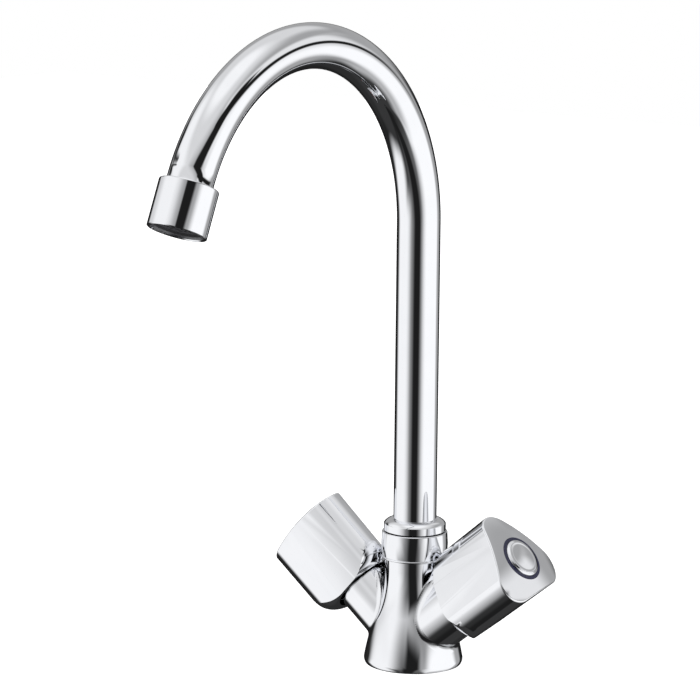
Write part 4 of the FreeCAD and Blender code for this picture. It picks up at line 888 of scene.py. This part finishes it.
def bent_path(tree, given, share):
    """Where a point belongs that has gone this share of the way along the tube."""
    bend = math_node(tree, "MULTIPLY", given["bend_radius"], given["bend_sweep"])
    whole = math_node(tree, "ADD", math_node(tree, "ADD", given["rise"], bend), given["end"])
    gone = math_node(tree, "MULTIPLY", share, whole)
    risen = math_node(tree, "MINIMUM", gone, given["rise"])
    over = math_node(tree, "SUBTRACT", gone, given["rise"])
    angle = math_node(tree, "DIVIDE", over, given["bend_radius"])
    angle = math_node(tree, "MINIMUM", math_node(tree, "MAXIMUM", angle, 0.0), given["bend_sweep"])
    past = math_node(tree, "MAXIMUM", math_node(tree, "SUBTRACT", over, bend), 0.0)
    cosine, sine = math_node(tree, "COSINE", angle), math_node(tree, "SINE", angle)
    forward = math_node(tree, "MULTIPLY", given["bend_radius"], math_node(tree, "SUBTRACT", 1.0, cosine))
    forward = math_node(tree, "ADD", forward, math_node(tree, "MULTIPLY", past, sine))
    lift = math_node(tree, "ADD", risen, math_node(tree, "MULTIPLY", given["bend_radius"], sine))
    lift = math_node(tree, "ADD", lift, math_node(tree, "MULTIPLY", past, cosine))
    lift = math_node(tree, "ADD", lift, given["foot"])
    return grow(tree, "ShaderNodeCombineXYZ", {"Y": math_node(tree, "MULTIPLY", forward, -1.0), "Z": lift})


def tube_tree():
    """A tube along a straight rise, a bend and a straight end."""
    tree = bpy.data.node_groups.new("bent_tube", "GeometryNodeTree")
    for name in ("foot", "rise", "bend_radius", "bend_sweep", "end", "tube_radius"):
        tree.interface.new_socket(name=name, in_out="INPUT", socket_type="NodeSocketFloat")
    tree.interface.new_socket(name="finish", in_out="INPUT", socket_type="NodeSocketMaterial")
    tree.interface.new_socket(name="tube", in_out="OUTPUT", socket_type="NodeSocketGeometry")
    given = {socket.name: socket for socket in tree.nodes.new("NodeGroupInput").outputs if socket.name}
    line = grow(tree, "GeometryNodeMeshLine", {"Count": PATH_POINTS})
    share = math_node(tree, "DIVIDE", grow(tree, "GeometryNodeInputIndex"), PATH_POINTS - 1.0)
    place = bent_path(tree, given, share)
    line = grow(tree, "GeometryNodeSetPosition", {"Geometry": line, "Position": place})
    path = grow(tree, "GeometryNodeMeshToCurve", {"Mesh": line})
    section = grow(tree, "GeometryNodeCurvePrimitiveCircle",
                   {"Resolution": TUBE_STEPS, "Radius": given["tube_radius"]})
    tube = grow(tree, "GeometryNodeCurveToMesh", {"Curve": path, "Profile Curve": section})
    tube = grow(tree, "GeometryNodeRealizeInstances", {"Geometry": tube})
    tube = grow(tree, "GeometryNodeSetMaterial", {"Geometry": tube, "Material": given["finish"]})
    tree.links.new(tube, tree.nodes.new("NodeGroupOutput").inputs[0])
    return tree


# %% Spout tube
TUBE_FOOT = 59.1


def grown_mesh(name, tree, sizes):
    """Run a geometry tree with its inputs set, and keep the result as a plain mesh."""
    holder = bpy.data.objects.new(name, bpy.data.meshes.new(name))
    bpy.context.scene.collection.objects.link(holder)
    modifier = holder.modifiers.new(name, "NODES")
    modifier.node_group = tree
    for item in tree.interface.items_tree:
        if item.in_out == "INPUT" and item.name in sizes:
            modifier[item.identifier] = sizes[item.name]
    seen = holder.evaluated_get(bpy.context.evaluated_depsgraph_get())
    mesh = bpy.data.meshes.new_from_object(seen)
    bpy.data.objects.remove(holder)
    return mesh


tube = grown_mesh("spout_tube_drawn", tube_tree(), {
    "foot": TUBE_FOOT * MM, "rise": (BEND_START - TUBE_FOOT) * MM, "bend_radius": BEND_RADIUS * MM,
    "bend_sweep": BEND_SWEEP, "end": (STUB + NOZZLE_SOCKET) * MM, "tube_radius": TUBE_RADIUS * MM,
    "finish": FINISHES["chrome_plate"]})
print("tube:", len(tube.polygons), "faces before its wall")

# %% [markdown]
# The swept skin has no thickness yet.  It is merged, its faces are turned outwards, and Solidify
# gives the wall its thickness inwards.  The tube's own rule then gives its normals, outside and in.

# %% The tube's wall


def face_outwards(mesh):
    """Merge a tube that rises from the origin, and turn its faces away from its axis."""
    shape = bmesh.new()
    shape.from_mesh(mesh)
    bmesh.ops.remove_doubles(shape, verts=shape.verts, dist=MERGE_WITHIN)
    shape.faces.ensure_lookup_table()
    lowest = min(shape.faces, key=lambda face: face.calc_center_median().z)
    if lowest.normal.dot(lowest.calc_center_median() * Vector((1, 1, 0))) < 0:
        bmesh.ops.reverse_faces(shape, faces=shape.faces)
    shape.to_mesh(mesh)
    shape.free()


def walled(mesh, thickness):
    """Give an open skin a wall inwards."""
    holder = bpy.data.objects.new("wall", mesh)
    bpy.context.scene.collection.objects.link(holder)
    solid = holder.modifiers.new("wall", "SOLIDIFY")
    solid.thickness = thickness
    solid.offset = -1.0
    solid.use_even_offset = True
    result = bpy.data.meshes.new_from_object(holder.evaluated_get(bpy.context.evaluated_depsgraph_get()))
    bpy.data.objects.remove(holder)
    return result


def bent_tube_skin(points, _=None):
    """The skin of the spout tube's outside."""
    centre = np.array((0.0, -BEND_RADIUS, BEND_START))
    nothing = np.zeros(len(points))
    spoke = points - centre
    angle = np.clip(np.arctan2(spoke[:, 2], spoke[:, 1]), 0.0, BEND_SWEEP)
    foot = centre + BEND_RADIUS * np.column_stack((nothing, np.cos(angle), np.sin(angle)))
    rising = (points[:, 2] < BEND_START) & (points[:, 1] > -BEND_RADIUS)
    foot[rising] = np.column_stack((nothing, nothing, points[:, 2]))[rising]
    past = ~rising & (angle >= BEND_SWEEP)
    gone = np.maximum((points - bend_end) @ nozzle_axis, 0.0)
    foot[past] = (bend_end + gone[:, None] * nozzle_axis)[past]
    way = points - foot
    reach = np.maximum(np.linalg.norm(way, axis=1), TINY)
    return reach - TUBE_RADIUS, way / reach[:, None]


def inner_tube_skin(points, _=None):
    """The skin of the tube's bore."""
    away, way = bent_tube_skin(points)
    return away + TUBE_WALL, -way


face_outwards(tube)
tube = walled(tube, TUBE_WALL * MM)
share = exact_normals(tube, [bent_tube_skin, inner_tube_skin])
print(f"tube: {len(tube.polygons)} faces, {share:.0%} of their corners on a skin")

# %% [markdown]
# Where the tube enters the nozzle, solder has run up it and been buffed into a soft flare.  It rises
# to nine tenths of a millimetre, and shows as a bright skirt in the reflection.  Again the bump makes
# it, from the way along the nozzle's axis.

# %% The flare above the nozzle
FLARE_LENGTH = 6.0                                 # millimetres
FLARE_SLOPE = math.tan(math.radians(17))           # at the nozzle


def flare_relief(tree, place):
    """A height that grows with the square of the way towards the nozzle."""
    along, _ = about_axis(tree, place, nozzle_place - FLARE_LENGTH * nozzle_axis, nozzle_axis)
    depth = grow(tree, "ShaderNodeSeparateXYZ", (place,)).node.outputs["Y"]
    past_bend = math_node(tree, "LESS_THAN", depth, -BEND_RADIUS * MM)
    inside = math_node(tree, "MULTIPLY", math_node(tree, "MAXIMUM", along, 0.0), past_bend)
    return math_node(tree, "MULTIPLY", math_node(tree, "MULTIPLY", inside, inside),
                     FLARE_SLOPE / (2 * FLARE_LENGTH * MM))


add_piece("spout_tube_drawn", tube, "chrome_plate", "spout", "spout_tube",
          material=chrome_plate("tube_chrome", flare_relief))
print("flare:", round(FLARE_SLOPE * FLARE_LENGTH / 2, 2), "mm high at the nozzle")
